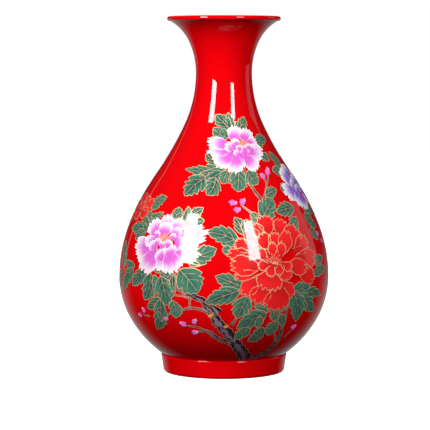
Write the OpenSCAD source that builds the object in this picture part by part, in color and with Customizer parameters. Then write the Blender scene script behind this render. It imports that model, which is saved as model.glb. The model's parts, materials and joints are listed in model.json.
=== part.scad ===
// Pear-shaped cloisonne vase with a flared mouth: copper shells, enamel coats,
// and a flowering peony branch laid over the body in enamel cells.
// Millimetres, +Z up, origin at the centre of the foot's underside.

/* [Vessel form] */
// Overall height of the vase
height = 330; // [310:1:450]
// Diameter over the underside of the foot
foot_d = 113; // [95:1:130]
// Diameter over the top of the foot
foot_top_d = 117.6; // [100:0.2:135]
// Height of the foot
foot_h = 16; // [10:0.5:26]
// Diameter of the body where it leaves the foot
body_root_d = 114; // [96:1:130]
// Widest diameter of the belly
belly_d = 195.6; // [170:0.2:240]
// Height of the widest ring above the foot
belly_rise = 73; // [60:1:95]
// Diameter at the shoulder seam
shoulder_d = 124; // [105:1:150]
// Height of the shoulder seam above the widest ring
shoulder_rise = 97; // [85:1:120]
// Narrowest diameter of the neck
neck_d = 52; // [44:1:70]
// Height of the flare, from the narrowest ring to the lip
flare_rise = 52; // [40:1:70]
// Diameter over the lip
mouth_d = 105.2; // [85:0.2:130]
// Slope of the wall where it leaves the foot, degrees from level
root_slope = 35; // [25:1:50]
// Slope of the wall at the shoulder seam, degrees from level
shoulder_slope = 124.8; // [115:0.2:135]
// Slope of the wall where it meets the lip, degrees from level
mouth_slope = 28; // [15:1:45]

/* [Metal] */
// Thickness of the copper shells
copper_t = 1.2; // [0.8:0.1:2.5]
// Thickness of the foot ring's wall
foot_wall_t = 1.6; // [1:0.1:3]
// Thickness of the flange at the top of the foot ring
flange_t = 1.2; // [0.8:0.1:2.5]
// Width of the flange that carries the body shell
flange_w = 8; // [6:0.5:14]
// Thickness of the base plate
base_t = 1.2; // [0.8:0.1:2.5]
// Diameter of the brass wire that the lip is rolled over
lip_wire_d = 1.2; // [0.8:0.1:2.4]
// Thickness of the copper rolled round the lip wire
lip_fold_t = 0.8; // [0.5:0.1:1.5]
// Width of the slit left where the rolled lip ends
roll_slit = 0.3; // [0.1:0.1:0.6]
// Width of the brazed seams at their outer face
seam_w = 2.4; // [1.5:0.1:5]

/* [Enamel] */
// Thickness of the red enamel on the outside
ground_t = 0.8; // [0.4:0.1:1.5]
// Thickness of the enamel inside
lining_t = 0.6; // [0.4:0.1:1.2]
// Thickness of the enamel over the rolled lip
lip_enamel_t = 0.7; // [0.4:0.1:1.2]
// Thickness of the enamel under the base plate
base_enamel_t = 0.6; // [0.4:0.1:1.2]
// Height of the bare metal at the foot's rim
foot_bare_h = 0.8; // [0.4:0.1:3]
// Radius of the foot's rounded upper edge
foot_edge_r = 0.9; // [0.3:0.1:2]
// Height of the enamel bead where the body meets the foot
foot_bead_h = 0.7; // [0.3:0.1:1.5]

/* [Decoration] */
// Height of the coloured cells above the red enamel
cell_t = 0.4; // [0.2:0.1:0.8]
// Width of the gilt wires
wire_w = 0.8; // [0.6:0.1:1.2]
// Red gap left between neighbouring petals that have no wire
cell_gap = 0.5; // [0.3:0.1:1]
// Clearance between a wire and the enamel it borders
fit = 0.01; // [0.01:0.01:0.05]
// Scale of the leaves' and petals' widths
motif_w = 1; // [0.85:0.05:1.2]
// Least width of a leaf that has a wire along its middle
veined_w = 12; // [8:1:30]

/* [Hidden] */

$fn = 96;
arc_steps = 6;
far = 500;
eps = 0.02;

red = [0.80, 0.02, 0.05];
copper = [0.72, 0.43, 0.28];
gilt = [0.85, 0.66, 0.36];
braze = [0.80, 0.70, 0.45];
jade = [0.25, 0.50, 0.40];
turquoise = [0.25, 0.60, 0.65];
pink = [0.96, 0.62, 0.93];
crimson = [0.92, 0.05, 0.14];
violet = [0.72, 0.60, 0.92];
salmon = [0.95, 0.62, 0.58];
bark = [0.33, 0.24, 0.33];
knot = [0.88, 0.52, 0.25];

// ---- The wall's section ----
// A station is [radius, height, slope]. The outer surface is a chain of arcs,
// two from each station to the next, that share a tangent where they meet.
lip_r = lip_wire_d / 2 + lip_fold_t + lip_enamel_t;
fold_r = lip_wire_d / 2 + lip_fold_t;
lip_c = [mouth_d / 2 - lip_r, height - lip_r];
wall_mid = ground_t + copper_t / 2;
metal_t = ground_t + copper_t;
wall_t = metal_t + lining_t;
root = [body_root_d / 2, foot_h, root_slope];
belly = [belly_d / 2, foot_h + belly_rise, 90];
shoulder = [shoulder_d / 2, belly[1] + shoulder_rise, shoulder_slope];
neck = [neck_d / 2, height - flare_rise, 90];
mouth = [lip_c[0] + wall_mid * sin(mouth_slope), lip_c[1] - wall_mid * cos(mouth_slope),
    mouth_slope];
STATIONS = [root, belly, shoulder, neck, mouth];
LOWER = [0, 1];
UPPER = [2, 3];
NECK = [4, 7];
ALL = [0, 7];

function dot(a, b) = a[0] * b[0] + a[1] * b[1];
function dir(a) = [cos(a), sin(a)];
function pt(s) = [s[0], s[1]];
function turn(v, a) = [v[0] * cos(a) - v[1] * sin(a), v[0] * sin(a) + v[1] * cos(a)];
// Where the two arcs between a station and the next meet.
function joint(p, q) =
    let (t0 = dir(p[2]), t1 = dir(q[2]), v = pt(q) - pt(p),
         a = 2 * (1 - dot(t0, t1)), b = 2 * dot(v, t0 + t1), c = -dot(v, v),
         d = (-b + sqrt(b * b - 4 * a * c)) / (2 * a))
    (pt(p) + pt(q) + d * (t0 - t1)) / 2;
// Signed radius of the arc that leaves a along t and ends at b: plus where it bulges outward.
function arc_r(a, t, b) = let (w = b - a) dot(w, w) / (2 * dot([-t[1], t[0]], w));
// An arc is [start, end, centre, signed radius].
function arc_from(a, t, b) = let (r = arc_r(a, t, b)) [a, b, a + r * [-t[1], t[0]], r];
function arc_to(a, t, b) = let (r = arc_r(b, -t, a)) [a, b, b + r * [t[1], -t[0]], -r];
ARCS = [for (i = [0:len(STATIONS) - 2], half = [0, 1])
    let (p = STATIONS[i], q = STATIONS[i + 1], j = joint(p, q))
    half == 0 ? arc_from(pt(p), dir(p[2]), j) : arc_to(j, dir(q[2]), pt(q))];
// Points along arc k at a given depth. The first arc starts where that depth meets the foot's top.
function cross2(a, b) = a[0] * b[1] - a[1] * b[0];
function sweep(k, d) =
    let (arc = ARCS[k], u = arc[0] - arc[2], v = arc[1] - arc[2])
    k > 0 ? atan2(cross2(u, v), dot(u, v))
          : atan2(v[1], v[0]) - asin((foot_h - arc[2][1]) / (arc[3] + d));
function arc_points(k, d) =
    let (arc = ARCS[k], v = (arc[1] - arc[2]) * (1 + d / arc[3]), a = sweep(k, d))
    [for (i = [0:arc_steps]) arc[2] + turn(v, -a * (1 - i / arc_steps))];
function wall_points(span, d) =
    [for (k = [span[0]:span[1]]) let (p = arc_points(k, d))
        for (i = [(k == span[0] ? 0 : 1):arc_steps]) p[i]];
function reversed(v) = [for (i = [len(v) - 1:-1:0]) v[i]];
// The wall between two depths, from the inner one d0 to the outer one d1.
module coat(span, d0, d1) {
    polygon(concat(wall_points(span, d1), reversed(wall_points(span, d0))));
}
module lip_disc(r) { translate(lip_c) circle(r); }
// The V that a brazed seam fills, at a station.
module seam_v(s) {
    out = dir(s[2] - 90);
    along = dir(s[2]);
    p = pt(s) - ground_t * out;
    q = p - (copper_t + eps) * out;
    polygon([q, p + eps * out - along * seam_w / 2, p + eps * out + along * seam_w / 2]);
}

module neck_shell() {
    color(copper) rotate_extrude() difference() {
        union() {
            coat(NECK, -metal_t, -ground_t);
            lip_disc(fold_r);
        }
        lip_disc(lip_wire_d / 2);
        translate(lip_c) rotate(mouth_slope - 90) translate([0, -roll_slit / 2])
            square([fold_r + eps, roll_slit]);
        seam_v(shoulder);
    }
}
module upper_body_shell() {
    color(copper) rotate_extrude() difference() {
        coat(UPPER, -metal_t, -ground_t);
        seam_v(shoulder);
        seam_v(belly);
    }
}
module lower_body_shell() {
    color(copper) rotate_extrude() difference() {
        coat(LOWER, -metal_t, -ground_t);
        seam_v(belly);
    }
}
module seam(s) {
    color(braze) rotate_extrude() intersection() {
        coat(ALL, -metal_t, -ground_t);
        seam_v(s);
    }
}
module shoulder_seam() { seam(shoulder); }
module belly_seam() { seam(belly); }
module lip_wire() { color(gilt) rotate_extrude() lip_disc(lip_wire_d / 2); }

// ---- Foot and base ----
ring_r0 = foot_d / 2 - ground_t;
ring_r1 = foot_top_d / 2 - ground_t;
flange_r = ring_r1 - flange_w;
flange_z = foot_h - flange_t;
plate_z = flange_z - base_t;
plate_r = ring_r0 - foot_wall_t + (ring_r1 - ring_r0) * plate_z / foot_h;
floor_r = body_root_d / 2 - metal_t / sin(root_slope);

module foot_ring() {
    color(copper) rotate_extrude() polygon([
        [ring_r0, 0], [ring_r1, foot_h], [flange_r, foot_h], [flange_r, flange_z],
        [plate_r, flange_z], [plate_r, plate_z], [ring_r0 - foot_wall_t, 0]]);
}
module base_plate() { color(copper) translate([0, 0, plate_z]) cylinder(r = plate_r, h = base_t); }
module base_enamel() {
    color(turquoise) translate([0, 0, plate_z - base_enamel_t])
        cylinder(r = ring_r0 - foot_wall_t, h = base_enamel_t);
}
module foot_enamel() {
    slope = (foot_top_d - foot_d) / 2 / foot_h;
    low = foot_d / 2 + slope * foot_bare_h;
    top_r = foot_top_d / 2;
    top_z = foot_h + foot_bead_h;
    color(red) rotate_extrude() difference() {
        union() {
            polygon([[low - 2 * ground_t, foot_bare_h], [low, foot_bare_h], [top_r, top_z - foot_edge_r],
                [body_root_d / 2 - ground_t, top_z - foot_edge_r]]);
            translate([top_r - foot_edge_r, top_z - foot_edge_r]) circle(foot_edge_r);
            translate([body_root_d / 2 - ground_t, top_z - foot_edge_r])
                square([top_r - foot_edge_r - body_root_d / 2 + ground_t, foot_edge_r]);
        }
        polygon([[0, -eps], [ring_r0 - slope * eps, -eps], [ring_r1, foot_h], [0, foot_h]]);
        coat(LOWER, -wall_t, 0);
    }
}

// ---- Enamel coats ----
module ground_enamel() {
    color(red) rotate_extrude() difference() {
        coat(ALL, -ground_t, 0);
        lip_disc(lip_r);
    }
}
module lip_enamel() {
    color(red) rotate_extrude() difference() {
        lip_disc(lip_r);
        lip_disc(fold_r);
        coat(NECK, -metal_t, -ground_t);
    }
}
module lining_enamel() {
    color(turquoise) rotate_extrude() difference() {
        union() {
            coat(ALL, -wall_t, -metal_t);
            translate([0, foot_h]) square([floor_r, lining_t]);
            translate([0, flange_z]) square([flange_r, flange_t + eps]);
        }
        lip_disc(lip_r);
    }
}

// ---- Decoration ----
// Every motif is drawn flat, as seen square on: x to the right, y up the vase. A cluster is
// then laid on the surface at its own bearing, and trimmed to a field of the surface.
// A field is [from bearing, to bearing, from height, to height]; bearings run from the front.
TOP = 12;
LEFT = -36;
RIGHT = 29;
SIDE = 70;
EDGE = -80;
TOP_FIELD = [[-45, 49.5, 167, 208], [-60, 75, 208, 246]];
LEFT_FIELD = [[-78, -8, 17, 146.5], [-55.5, -8, 146.5, 167]];
RIGHT_FIELD = [[-8, 78, 17, 119], [-8, 49.5, 119, 167]];
SIDE_FIELD = [[49.5, 104, 119, 208]];
EDGE_FIELD = [[-94, -78, 60, 146.5], [-94, -55.5, 146.5, 176]];
// The top and right clusters, mirrored and turned by this much, fill the back.
BACK_TOP = 180;
BACK_RED = 218;

module skin(bearing, field) {
    for (f = field)
        rotate([0, 0, f[0] - bearing - 90]) rotate_extrude(angle = f[1] - f[0]) intersection() {
            coat(ALL, 0, cell_t);
            translate([0, f[2]]) square([far, f[3] - f[2]]);
        }
}
// Lays a flat drawing on the surface, drawn in by the clearance all round.
module lay(bearing, field) {
    rotate([0, 0, bearing]) intersection() {
        rotate([90, 0, 0]) linear_extrude(height = belly_d) offset(delta = -fit) children();
        skin(bearing, field);
    }
}
module back(turn_by) { rotate([0, 0, turn_by]) mirror([1, 0, 0]) children(); }

// A motif is [base x, base y, tip x, tip y, width].
LEAF = [[0.05, 0.12], [0.18, 0.72], [0.38, 0.96], [0.60, 0.95], [0.66, 0.64], [0.86, 0.42]];
PETAL = [[0, 0.2], [0.38, 0.72], [0.72, 1], [0.92, 0.68], [0.96, 0.25]];
module motif(m, half) {
    v = [m[2] - m[0], m[3] - m[1]];
    up = [for (p = half) [p[0] * norm(v), p[1] * m[4] * motif_w / 2]];
    down = reversed([for (p = up) [p[0], -p[1]]]);
    translate([m[0], m[1]]) rotate(atan2(v[1], v[0]))
        polygon(concat([[0, 0]], up, [[norm(v), 0]], down));
}
module leaf(m) { motif(m, LEAF); }
module petal(m) { motif(m, PETAL); }
// Only the broad leaves have a wire along the middle.
module vein(m) {
    if (m[4] >= veined_w)
        motif([m[0], m[1], (m[0] + 3 * m[2]) / 4, (m[1] + 3 * m[3]) / 4, wire_w / motif_w], [[0, 1]]);
}
// A strip along points of [x, y, width].
function strip_side(p, k) =
    [for (i = [0:len(p) - 1])
        let (a = p[max(i - 1, 0)], b = p[min(i + 1, len(p) - 1)],
             v = [b[0] - a[0], b[1] - a[1]], t = k * v / norm(v))
        [p[i][0] - t[1] * p[i][2] / 2, p[i][1] + t[0] * p[i][2] / 2]];
module strip(p) { polygon(concat(strip_side(p, 1), reversed(strip_side(p, -1)))); }
module strips(list) { for (p = list) strip(p); }
module bud(b) { translate([b[0], b[1]]) rotate(b[3]) scale([1, 0.72]) circle(b[2], $fn = 10); }
module buds(list) { for (b = list) bud(b); }

// Cells of enamel: each motif less the ones in front of it, drawn in from its edge. The
// children are whatever stands in front of the whole group.
module leaf_cells(list) {
    for (i = [0:len(list) - 1]) offset(delta = -wire_w / 2) difference() {
        leaf(list[i]);
        for (j = [i + 1:1:len(list) - 1]) leaf(list[j]);
        vein(list[i]);
        children();
    }
}
module petal_cells(list, inset, heart) {
    for (i = [0:len(list) - 1]) offset(delta = -inset) difference() {
        petal(list[i]);
        for (j = [i + 1:1:len(list) - 1]) petal(list[j]);
        buds(heart);
    }
}
module bark_cells(barks, leaves) {
    offset(delta = -wire_w / 2) difference() {
        strips(barks);
        for (m = leaves) leaf(m);
        children();
    }
}
// The gilt wires: everything within half a wire of an outline that no cell takes.
module net(leaves, barks) {
    difference() {
        offset(delta = wire_w / 2) {
            for (m = leaves) leaf(m);
            strips(barks);
        }
        leaf_cells(leaves) children();
        bark_cells(barks, leaves) children();
        offset(delta = cell_gap) children();
    }
}
module petal_net(list, heart) {
    difference() {
        offset(delta = wire_w / 2) for (m = list) petal(m);
        petal_cells(list, wire_w / 2, heart);
        buds(heart);
    }
}
module blooms(list) { for (m = list) petal(m); }

TOP_PETALS = [[0, 214, 1, 229, 13], [8, 214, 14, 226, 13], [12, 212, 20, 218, 9], [8, 207, 26, 205, 15],
    [7, 203, 19, 192, 13], [0, 205, -4, 189, 17], [-3, 206, -18, 195, 14], [-2, 209, -23, 207, 11],
    [-3, 212, -22, 216, 12], [0, 209, -8, 213, 9], [0, 207, 0, 218, 9], [15, 205, 16, 213, 9],
    [5, 202, 3, 209, 12], [9, 203, 9, 210, 9]];
TOP_HEART = [[8, 213.5, 5.5, 0]];
TOP_LEAVES = [[-1, 226, -3, 242, 8], [-2, 227, -14, 240, 12], [3, 225, 12, 238, 10],
    [-5, 219, -17, 228, 12],
    [-17, 196, -26, 205, 9], [20, 212, 33, 218, 10], [24, 204, 33, 198, 7], [-14, 192, -44, 191, 10],
    [-28, 185, -48, 168, 13], [-12, 191, -33, 188, 8], [-14, 189, -30, 182, 8], [-21, 184, -30, 169, 12],
    [-9, 190, -16, 179, 9], [1, 191, -3, 172, 15], [9, 190, 17, 178, 12], [23, 168, 35, 173, 9]];
TOP_TWIGS = [[[5, 196, 2], [6.5, 188, 1.5], [8, 180, 1.8], [12, 174, 2], [15, 169, 2.6], [19, 165, 3]],
    [[22, 167, 1.2], [25, 176, 1.2], [28, 182, 1.2], [29, 186, 1]], [[26, 178, 1], [24, 183, 1]]];
TOP_BUDS = [[29, 189, 3.2, 80], [23, 185, 2.8, 130]];

LEFT_PETALS = [[-2, 134, 0, 150, 17], [-7, 132, -19, 144, 16], [8, 134, 14, 147, 14],
    [10, 130, 37, 139, 18],
    [10, 124, 34, 116, 20], [7, 120, 14, 102, 20], [-8, 120, -21, 101, 24], [-12, 122, -35, 121, 18],
    [-6, 126, -22, 129, 10], [-2, 131, -1, 144, 16], [9, 131, 14, 140, 10], [-7, 119, -14, 127, 10],
    [12, 126, 20, 126, 12], [2, 112, -4, 119, 14], [10, 114, 7, 124, 14]];
LEFT_HEART = [[0, 129, 8.5, 0]];
LEFT_LEAVES = [[7, 145, 7, 158, 11], [23, 145, 34, 147, 8], [19, 146, 30, 158, 10],
    [17, 145, 16, 159, 7],
    [28, 109, 38, 108, 5], [28, 111, 49, 123, 15], [-26, 155, -10, 166, 10], [-24, 147, -8, 153, 7],
    [-24, 140, -26, 154, 8], [-21, 136, -36, 148, 8], [-22, 137, -52, 136, 11], [-25, 134, -39, 127, 9],
    [-34, 103, -51, 107, 8], [-36, 101, -57, 78, 12], [-18, 99, -37, 86, 12], [-11, 99, -20, 74, 16],
    [-6, 98, -7, 79, 8], [0, 100, 18, 95, 12], [1, 97, 6, 71, 18], [14, 99, 16, 83, 6],
    [20, 104, 37, 84, 22],
    [0, 100, -6, 107, 6], [0, 100, 5, 108, 6], [0, 77, -18, 67, 9], [0, 76, -13, 47, 14],
    [-4, 65, -4, 55, 5],
    [13, 76, 13, 60, 12]];
LEFT_TWIGS = [[[14, 81, 1.2], [23, 80.5, 1.2], [31, 78, 1.2]], [[29.5, 80, 1.5], [28.5, 69, 1.5]],
    [[47, 62, 2.4], [40, 68, 2.2], [33, 70, 2], [26, 69.5, 2], [17, 66, 1.6]],
    [[10, 64, 1.2], [4, 62, 1.2], [-2, 61.5, 1]], [[-17, 59, 1.2], [-26, 59, 1]],
    [[42, 46.5, 2.4], [36, 49.5, 2], [31, 52, 1.6], [22, 53, 1]], [[38, 48.5, 1.4], [29, 47.5, 1]]];
LEFT_TRUNK = [[[15, 88.5, 2.4], [24, 84, 3.2], [32, 81, 4.5], [39, 78, 5.4], [44, 74.5, 6.2],
    [52, 66, 7]]];
LEFT_BUDS = [[-24, 64, 3, 120], [-31.5, 58.5, 3, 170], [2, 58.5, 2.8, 30], [18.5, 54.5, 3.4, 160],
    [30, 57.5, 3, 50], [27, 47, 3, 10]];

RED_PETALS = [[5, 134, 12, 146, 17], [-4, 134, -5, 150, 16], [-10, 132, -17, 143, 12],
    [-14, 126, -25, 138, 16],
    [-20, 121, -35, 129, 12], [-22, 117, -42, 120, 12], [14, 122, 28, 137, 22], [20, 118, 38, 127, 16],
    [18, 112, 46, 108, 18], [20, 104, 44, 94, 16], [4, 92, 17, 80, 14], [-16, 96, -34, 86, 15],
    [-12, 92, -19, 75, 20], [2, 90, 0, 68, 26], [-18, 102, -38, 98, 9], [-16, 107, -40, 107, 18],
    [-5, 122, -14, 133, 14], [0, 120, 1, 135, 14], [7, 116, 14, 136, 15], [10, 107, 33, 104, 15],
    [-6, 104, -10, 87, 26], [6, 104, 10, 94, 14], [-10, 112, -17, 122, 10], [4, 114, 8, 126, 9],
    [-4, 114, -3, 127, 9], [-8, 108, -18, 108, 9], [-4, 108, -9, 99, 9], [2, 108, 2, 99, 9],
    [7, 109, 14, 103, 9]];
RED_HEART = [[-3, 113, 7, 20]];
RIGHT_LEAVES = [[-32, 127, -56, 137, 15], [-26, 136, -22, 148, 8], [-28, 135, -32, 150, 10],
    [-12, 143, -17, 154, 9],
    [-8, 149, 8, 166, 16], [31, 156, 9, 153, 12], [31, 148, 20, 135, 11], [-39, 121, -47, 122, 8],
    [-32, 89, -54, 99, 13], [-35, 86, -61, 75, 14], [-29, 81, -35, 61, 15], [-5, 67, -22, 72, 8],
    [-9, 65, -33, 51, 15], [-14, 62, -15, 51, 7], [-21, 51, -31, 40, 10], [-8, 51, -19, 38, 11],
    [4, 56, -2, 43, 12], [0, 66, 13, 71, 8], [6, 63, 12, 51, 8], [-2, 68, 2, 57, 9],
    [24, 79, 58, 75, 10], [22, 78, 38, 66, 10], [18, 80, 50, 61, 14], [16, 84, 40, 90, 12],
    [16, 83, 26, 54, 16],
    [44, 96, 66, 99, 9], [44, 108, 62, 110, 9]];
RIGHT_TWIGS = [[[-35, 62, 1.6], [-38, 54, 2.6]], [[-54, 48, 2.4], [-46, 42, 3], [-40, 39, 3.4],
    [-31, 36, 4]],
    [[4, 46, 1.2], [10, 36, 2]], [[18, 39, 1], [24, 46, 1]],
    [[-24, 161, 1], [-19, 156, 1.6], [-14, 152, 2], [-9, 148, 2]]];
RIGHT_TRUNK = [[[-61, 75, 6.4], [-55, 66, 6], [-49.5, 57, 7], [-42, 50, 7.6], [-35, 43, 7.6],
    [-28, 35, 8],
        [-20, 28, 8.4], [-13, 21, 9], [-10, 17, 10]],
    [[-9, 19.5, 5], [-1, 21, 5], [5, 24, 4.6], [9, 30, 4.6], [12.5, 36, 5], [12.5, 42, 4],
    [11, 50, 3], [12, 58, 2.4],
        [12, 74, 2]]];
RIGHT_KNOTS = [[-42, 53, 1.9, 0], [-55.5, 63.5, 2.2, 60]];
RIGHT_BUDS = [[25.5, 48.5, 3, 30], [-30, 162.5, 3.2, 0], [-21.5, 163.5, 3, 40], [-28, 156.5, 3, 20]];

VIOLET_PETALS = [[10, 176, 24, 184, 16], [10, 168, 26, 160, 16], [0, 180, -2, 193, 16],
    [-5, 178, -16, 185, 13],
    [-6, 171, -25, 168, 16], [-4, 169, -15, 160, 11], [0, 168, -3, 154, 18], [4, 172, 3, 183, 13],
    [-3, 171, -7, 179, 10],
    [6, 168, 12, 174, 11], [0, 167, -1, 175, 11]];
SIDE_LEAVES = [[-4, 191, -12, 206, 10], [-9, 188, -23, 189, 9], [-15, 172, -28, 172, 9],
    [14, 188, 28, 198, 11],
    [16, 158, 28, 148, 11], [-12, 158, 10, 149, 12], [-14, 149, 4, 138, 12], [-14, 136, -2, 126, 9]];
SIDE_BUDS = [[0, 131, 3, 20], [8, 124, 3, 340]];
EDGE_PETALS = [[14, 155, 4, 164, 13], [12, 154, -8, 158, 13], [12, 152, -4, 147, 12],
    [18, 157, 23, 164, 12],
    [18, 155, 33, 159, 10], [18, 153, 31, 148, 10], [14, 152, 14, 144, 13], [14, 152, 16, 160, 11],
    [10, 152, 10, 158, 9]];
EDGE_LEAVES = [[-2, 160, -17, 170, 11], [-4, 150, -20, 141, 11], [18, 100, 7, 124, 11],
    [12, 96, -8, 82, 12]];

// What stands in front of the leaves in each cluster.
module top_front() { blooms(TOP_PETALS); buds(TOP_BUDS); }
module left_front() { blooms(LEFT_PETALS); buds(LEFT_BUDS); }
module right_front() { offset(delta = wire_w / 2) blooms(RED_PETALS); buds(RIGHT_BUDS); buds(RIGHT_KNOTS); }
module side_front() { blooms(VIOLET_PETALS); buds(SIDE_BUDS); }
module edge_front() { offset(delta = wire_w / 2) blooms(EDGE_PETALS); }
function alternate(v) = [for (i = [0:2:len(v) - 1]) v[i]];

module top_petals() { petal_cells(TOP_PETALS, cell_gap / 2, TOP_HEART); }
module left_petals() { petal_cells(LEFT_PETALS, cell_gap / 2, LEFT_HEART); }
module red_petals() { petal_cells(RED_PETALS, wire_w / 2, RED_HEART); }

module top_peony_petals() { color(pink) lay(TOP, TOP_FIELD) top_petals(); }
module top_peony_heart() { color(salmon) lay(TOP, TOP_FIELD) buds(TOP_HEART); }
module top_leaves() { color(jade) lay(TOP, TOP_FIELD) leaf_cells(TOP_LEAVES) top_front(); }
module top_wires() { color(gilt) lay(TOP, TOP_FIELD) net(TOP_LEAVES, TOP_TWIGS) top_front(); }
module left_peony_petals() { color(pink) lay(LEFT, LEFT_FIELD) left_petals(); }
module left_peony_heart() { color(salmon) lay(LEFT, LEFT_FIELD) buds(LEFT_HEART); }
module left_leaves() { color(jade) lay(LEFT, LEFT_FIELD) leaf_cells(LEFT_LEAVES) left_front(); }
module left_wires() {
    color(gilt) lay(LEFT, LEFT_FIELD) net(LEFT_LEAVES, concat(LEFT_TWIGS, LEFT_TRUNK)) left_front();
}
module red_peony_petals() { color(crimson) lay(RIGHT, RIGHT_FIELD) red_petals(); }
module red_peony_stamens() { color(gilt) lay(RIGHT, RIGHT_FIELD) buds(RED_HEART); }
module red_peony_wires() { color(gilt) lay(RIGHT, RIGHT_FIELD) petal_net(RED_PETALS, RED_HEART); }
module right_leaves() { color(jade) lay(RIGHT, RIGHT_FIELD) leaf_cells(RIGHT_LEAVES) right_front(); }
module right_wires() {
    color(gilt) lay(RIGHT, RIGHT_FIELD) net(RIGHT_LEAVES, concat(RIGHT_TWIGS, RIGHT_TRUNK)) right_front();
}
module violet_peony_petals() {
    color(violet) lay(SIDE, SIDE_FIELD) petal_cells(VIOLET_PETALS, cell_gap / 2, []);
}
module side_leaves() { color(jade) lay(SIDE, SIDE_FIELD) leaf_cells(SIDE_LEAVES) side_front(); }
module side_wires() { color(gilt) lay(SIDE, SIDE_FIELD) net(SIDE_LEAVES, []) side_front(); }
module edge_peony_petals() {
    color(crimson) lay(EDGE, EDGE_FIELD) petal_cells(EDGE_PETALS, wire_w / 2, []);
}
module edge_leaves() { color(jade) lay(EDGE, EDGE_FIELD) leaf_cells(EDGE_LEAVES) edge_front(); }
module edge_wires() {
    color(gilt) lay(EDGE, EDGE_FIELD) {
        net(EDGE_LEAVES, []) edge_front();
        petal_net(EDGE_PETALS, []);
    }
}
module trunk_bark() {
    color(bark) {
        lay(LEFT, LEFT_FIELD) bark_cells(LEFT_TRUNK, LEFT_LEAVES) left_front();
        lay(RIGHT, RIGHT_FIELD) bark_cells(RIGHT_TRUNK, RIGHT_LEAVES) right_front();
    }
}
module twig_bark() {
    color(bark) {
        lay(TOP, TOP_FIELD) bark_cells(TOP_TWIGS, TOP_LEAVES) top_front();
        lay(LEFT, LEFT_FIELD) bark_cells(LEFT_TWIGS, LEFT_LEAVES) {
            left_front();
            strips(LEFT_TRUNK);
        }
        lay(RIGHT, RIGHT_FIELD) bark_cells(RIGHT_TWIGS, RIGHT_LEAVES) {
            right_front();
            strips(RIGHT_TRUNK);
        }
    }
}
module bark_knots() { color(knot) lay(RIGHT, RIGHT_FIELD) buds(RIGHT_KNOTS); }
module flower_buds() {
    color(pink) {
        lay(TOP, TOP_FIELD) buds(TOP_BUDS);
        lay(LEFT, LEFT_FIELD) buds(LEFT_BUDS);
        lay(RIGHT, RIGHT_FIELD) buds(RIGHT_BUDS);
        lay(SIDE, SIDE_FIELD) buds(SIDE_BUDS);
    }
}

// ---- The back: two clusters mirrored, with every second leaf ----
module back_pink_petals() { color(pink) back(BACK_TOP) lay(TOP, TOP_FIELD) top_petals(); }
module back_pink_leaves() {
    color(jade) back(BACK_TOP) lay(TOP, TOP_FIELD) leaf_cells(alternate(TOP_LEAVES)) top_front();
}
module back_pink_wires() {
    color(gilt) back(BACK_TOP) lay(TOP, TOP_FIELD) net(alternate(TOP_LEAVES), []) top_front();
}
module back_red_petals() { color(crimson) back(BACK_RED) lay(RIGHT, RIGHT_FIELD) red_petals(); }
module back_bloom_wires() {
    color(gilt) back(BACK_RED) lay(RIGHT, RIGHT_FIELD) petal_net(RED_PETALS, RED_HEART);
}
module back_red_leaves() {
    color(jade) back(BACK_RED) lay(RIGHT, RIGHT_FIELD) leaf_cells(alternate(RIGHT_LEAVES)) right_front();
}
module back_red_wires() {
    color(gilt) back(BACK_RED) lay(RIGHT, RIGHT_FIELD)
        net(alternate(RIGHT_LEAVES), RIGHT_TRUNK) right_front();
}
module back_hearts() {
    color(salmon) {
        back(BACK_TOP) lay(TOP, TOP_FIELD) buds(TOP_HEART);
        back(BACK_RED) lay(RIGHT, RIGHT_FIELD) buds(RED_HEART);
    }
}
module back_bark() {
    color(bark) back(BACK_RED) lay(RIGHT, RIGHT_FIELD)
        bark_cells(RIGHT_TRUNK, alternate(RIGHT_LEAVES)) right_front();
}
module back_buds() {
    color(pink) {
        back(BACK_TOP) lay(TOP, TOP_FIELD) buds(TOP_BUDS);
        back(BACK_RED) lay(RIGHT, RIGHT_FIELD) { buds(RIGHT_BUDS); buds(RIGHT_KNOTS); }
    }
}

neck_shell();
upper_body_shell();
lower_body_shell();
shoulder_seam();
belly_seam();
lip_wire();
foot_ring();
base_plate();
ground_enamel();
lip_enamel();
foot_enamel();
lining_enamel();
base_enamel();
top_peony_petals();
top_peony_heart();
top_leaves();
top_wires();
left_peony_petals();
left_peony_heart();
left_leaves();
left_wires();
red_peony_petals();
red_peony_stamens();
red_peony_wires();
right_leaves();
right_wires();
violet_peony_petals();
side_leaves();
side_wires();
edge_peony_petals();
edge_leaves();
edge_wires();
trunk_bark();
twig_bark();
bark_knots();
flower_buds();
back_pink_petals();
back_pink_leaves();
back_pink_wires();
back_red_petals();
back_bloom_wires();
back_red_leaves();
back_red_wires();
back_hearts();
back_bark();
back_buds();
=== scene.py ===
"""Pear-shaped cloisonne vase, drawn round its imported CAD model.

Metres, +Z up, origin at the centre of the foot's underside. A bearing of 0 faces the front (-Y)
and bearings grow towards the right (+X). The peony branch is drawn flat, as seen square on, in
clusters that are laid on the wall at their own bearing.
"""

import json
import math
import random

import bmesh
import bpy
import numpy as np
from bpy.props import FloatProperty, FloatVectorProperty, IntProperty, PointerProperty
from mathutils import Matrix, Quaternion, Vector

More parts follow.
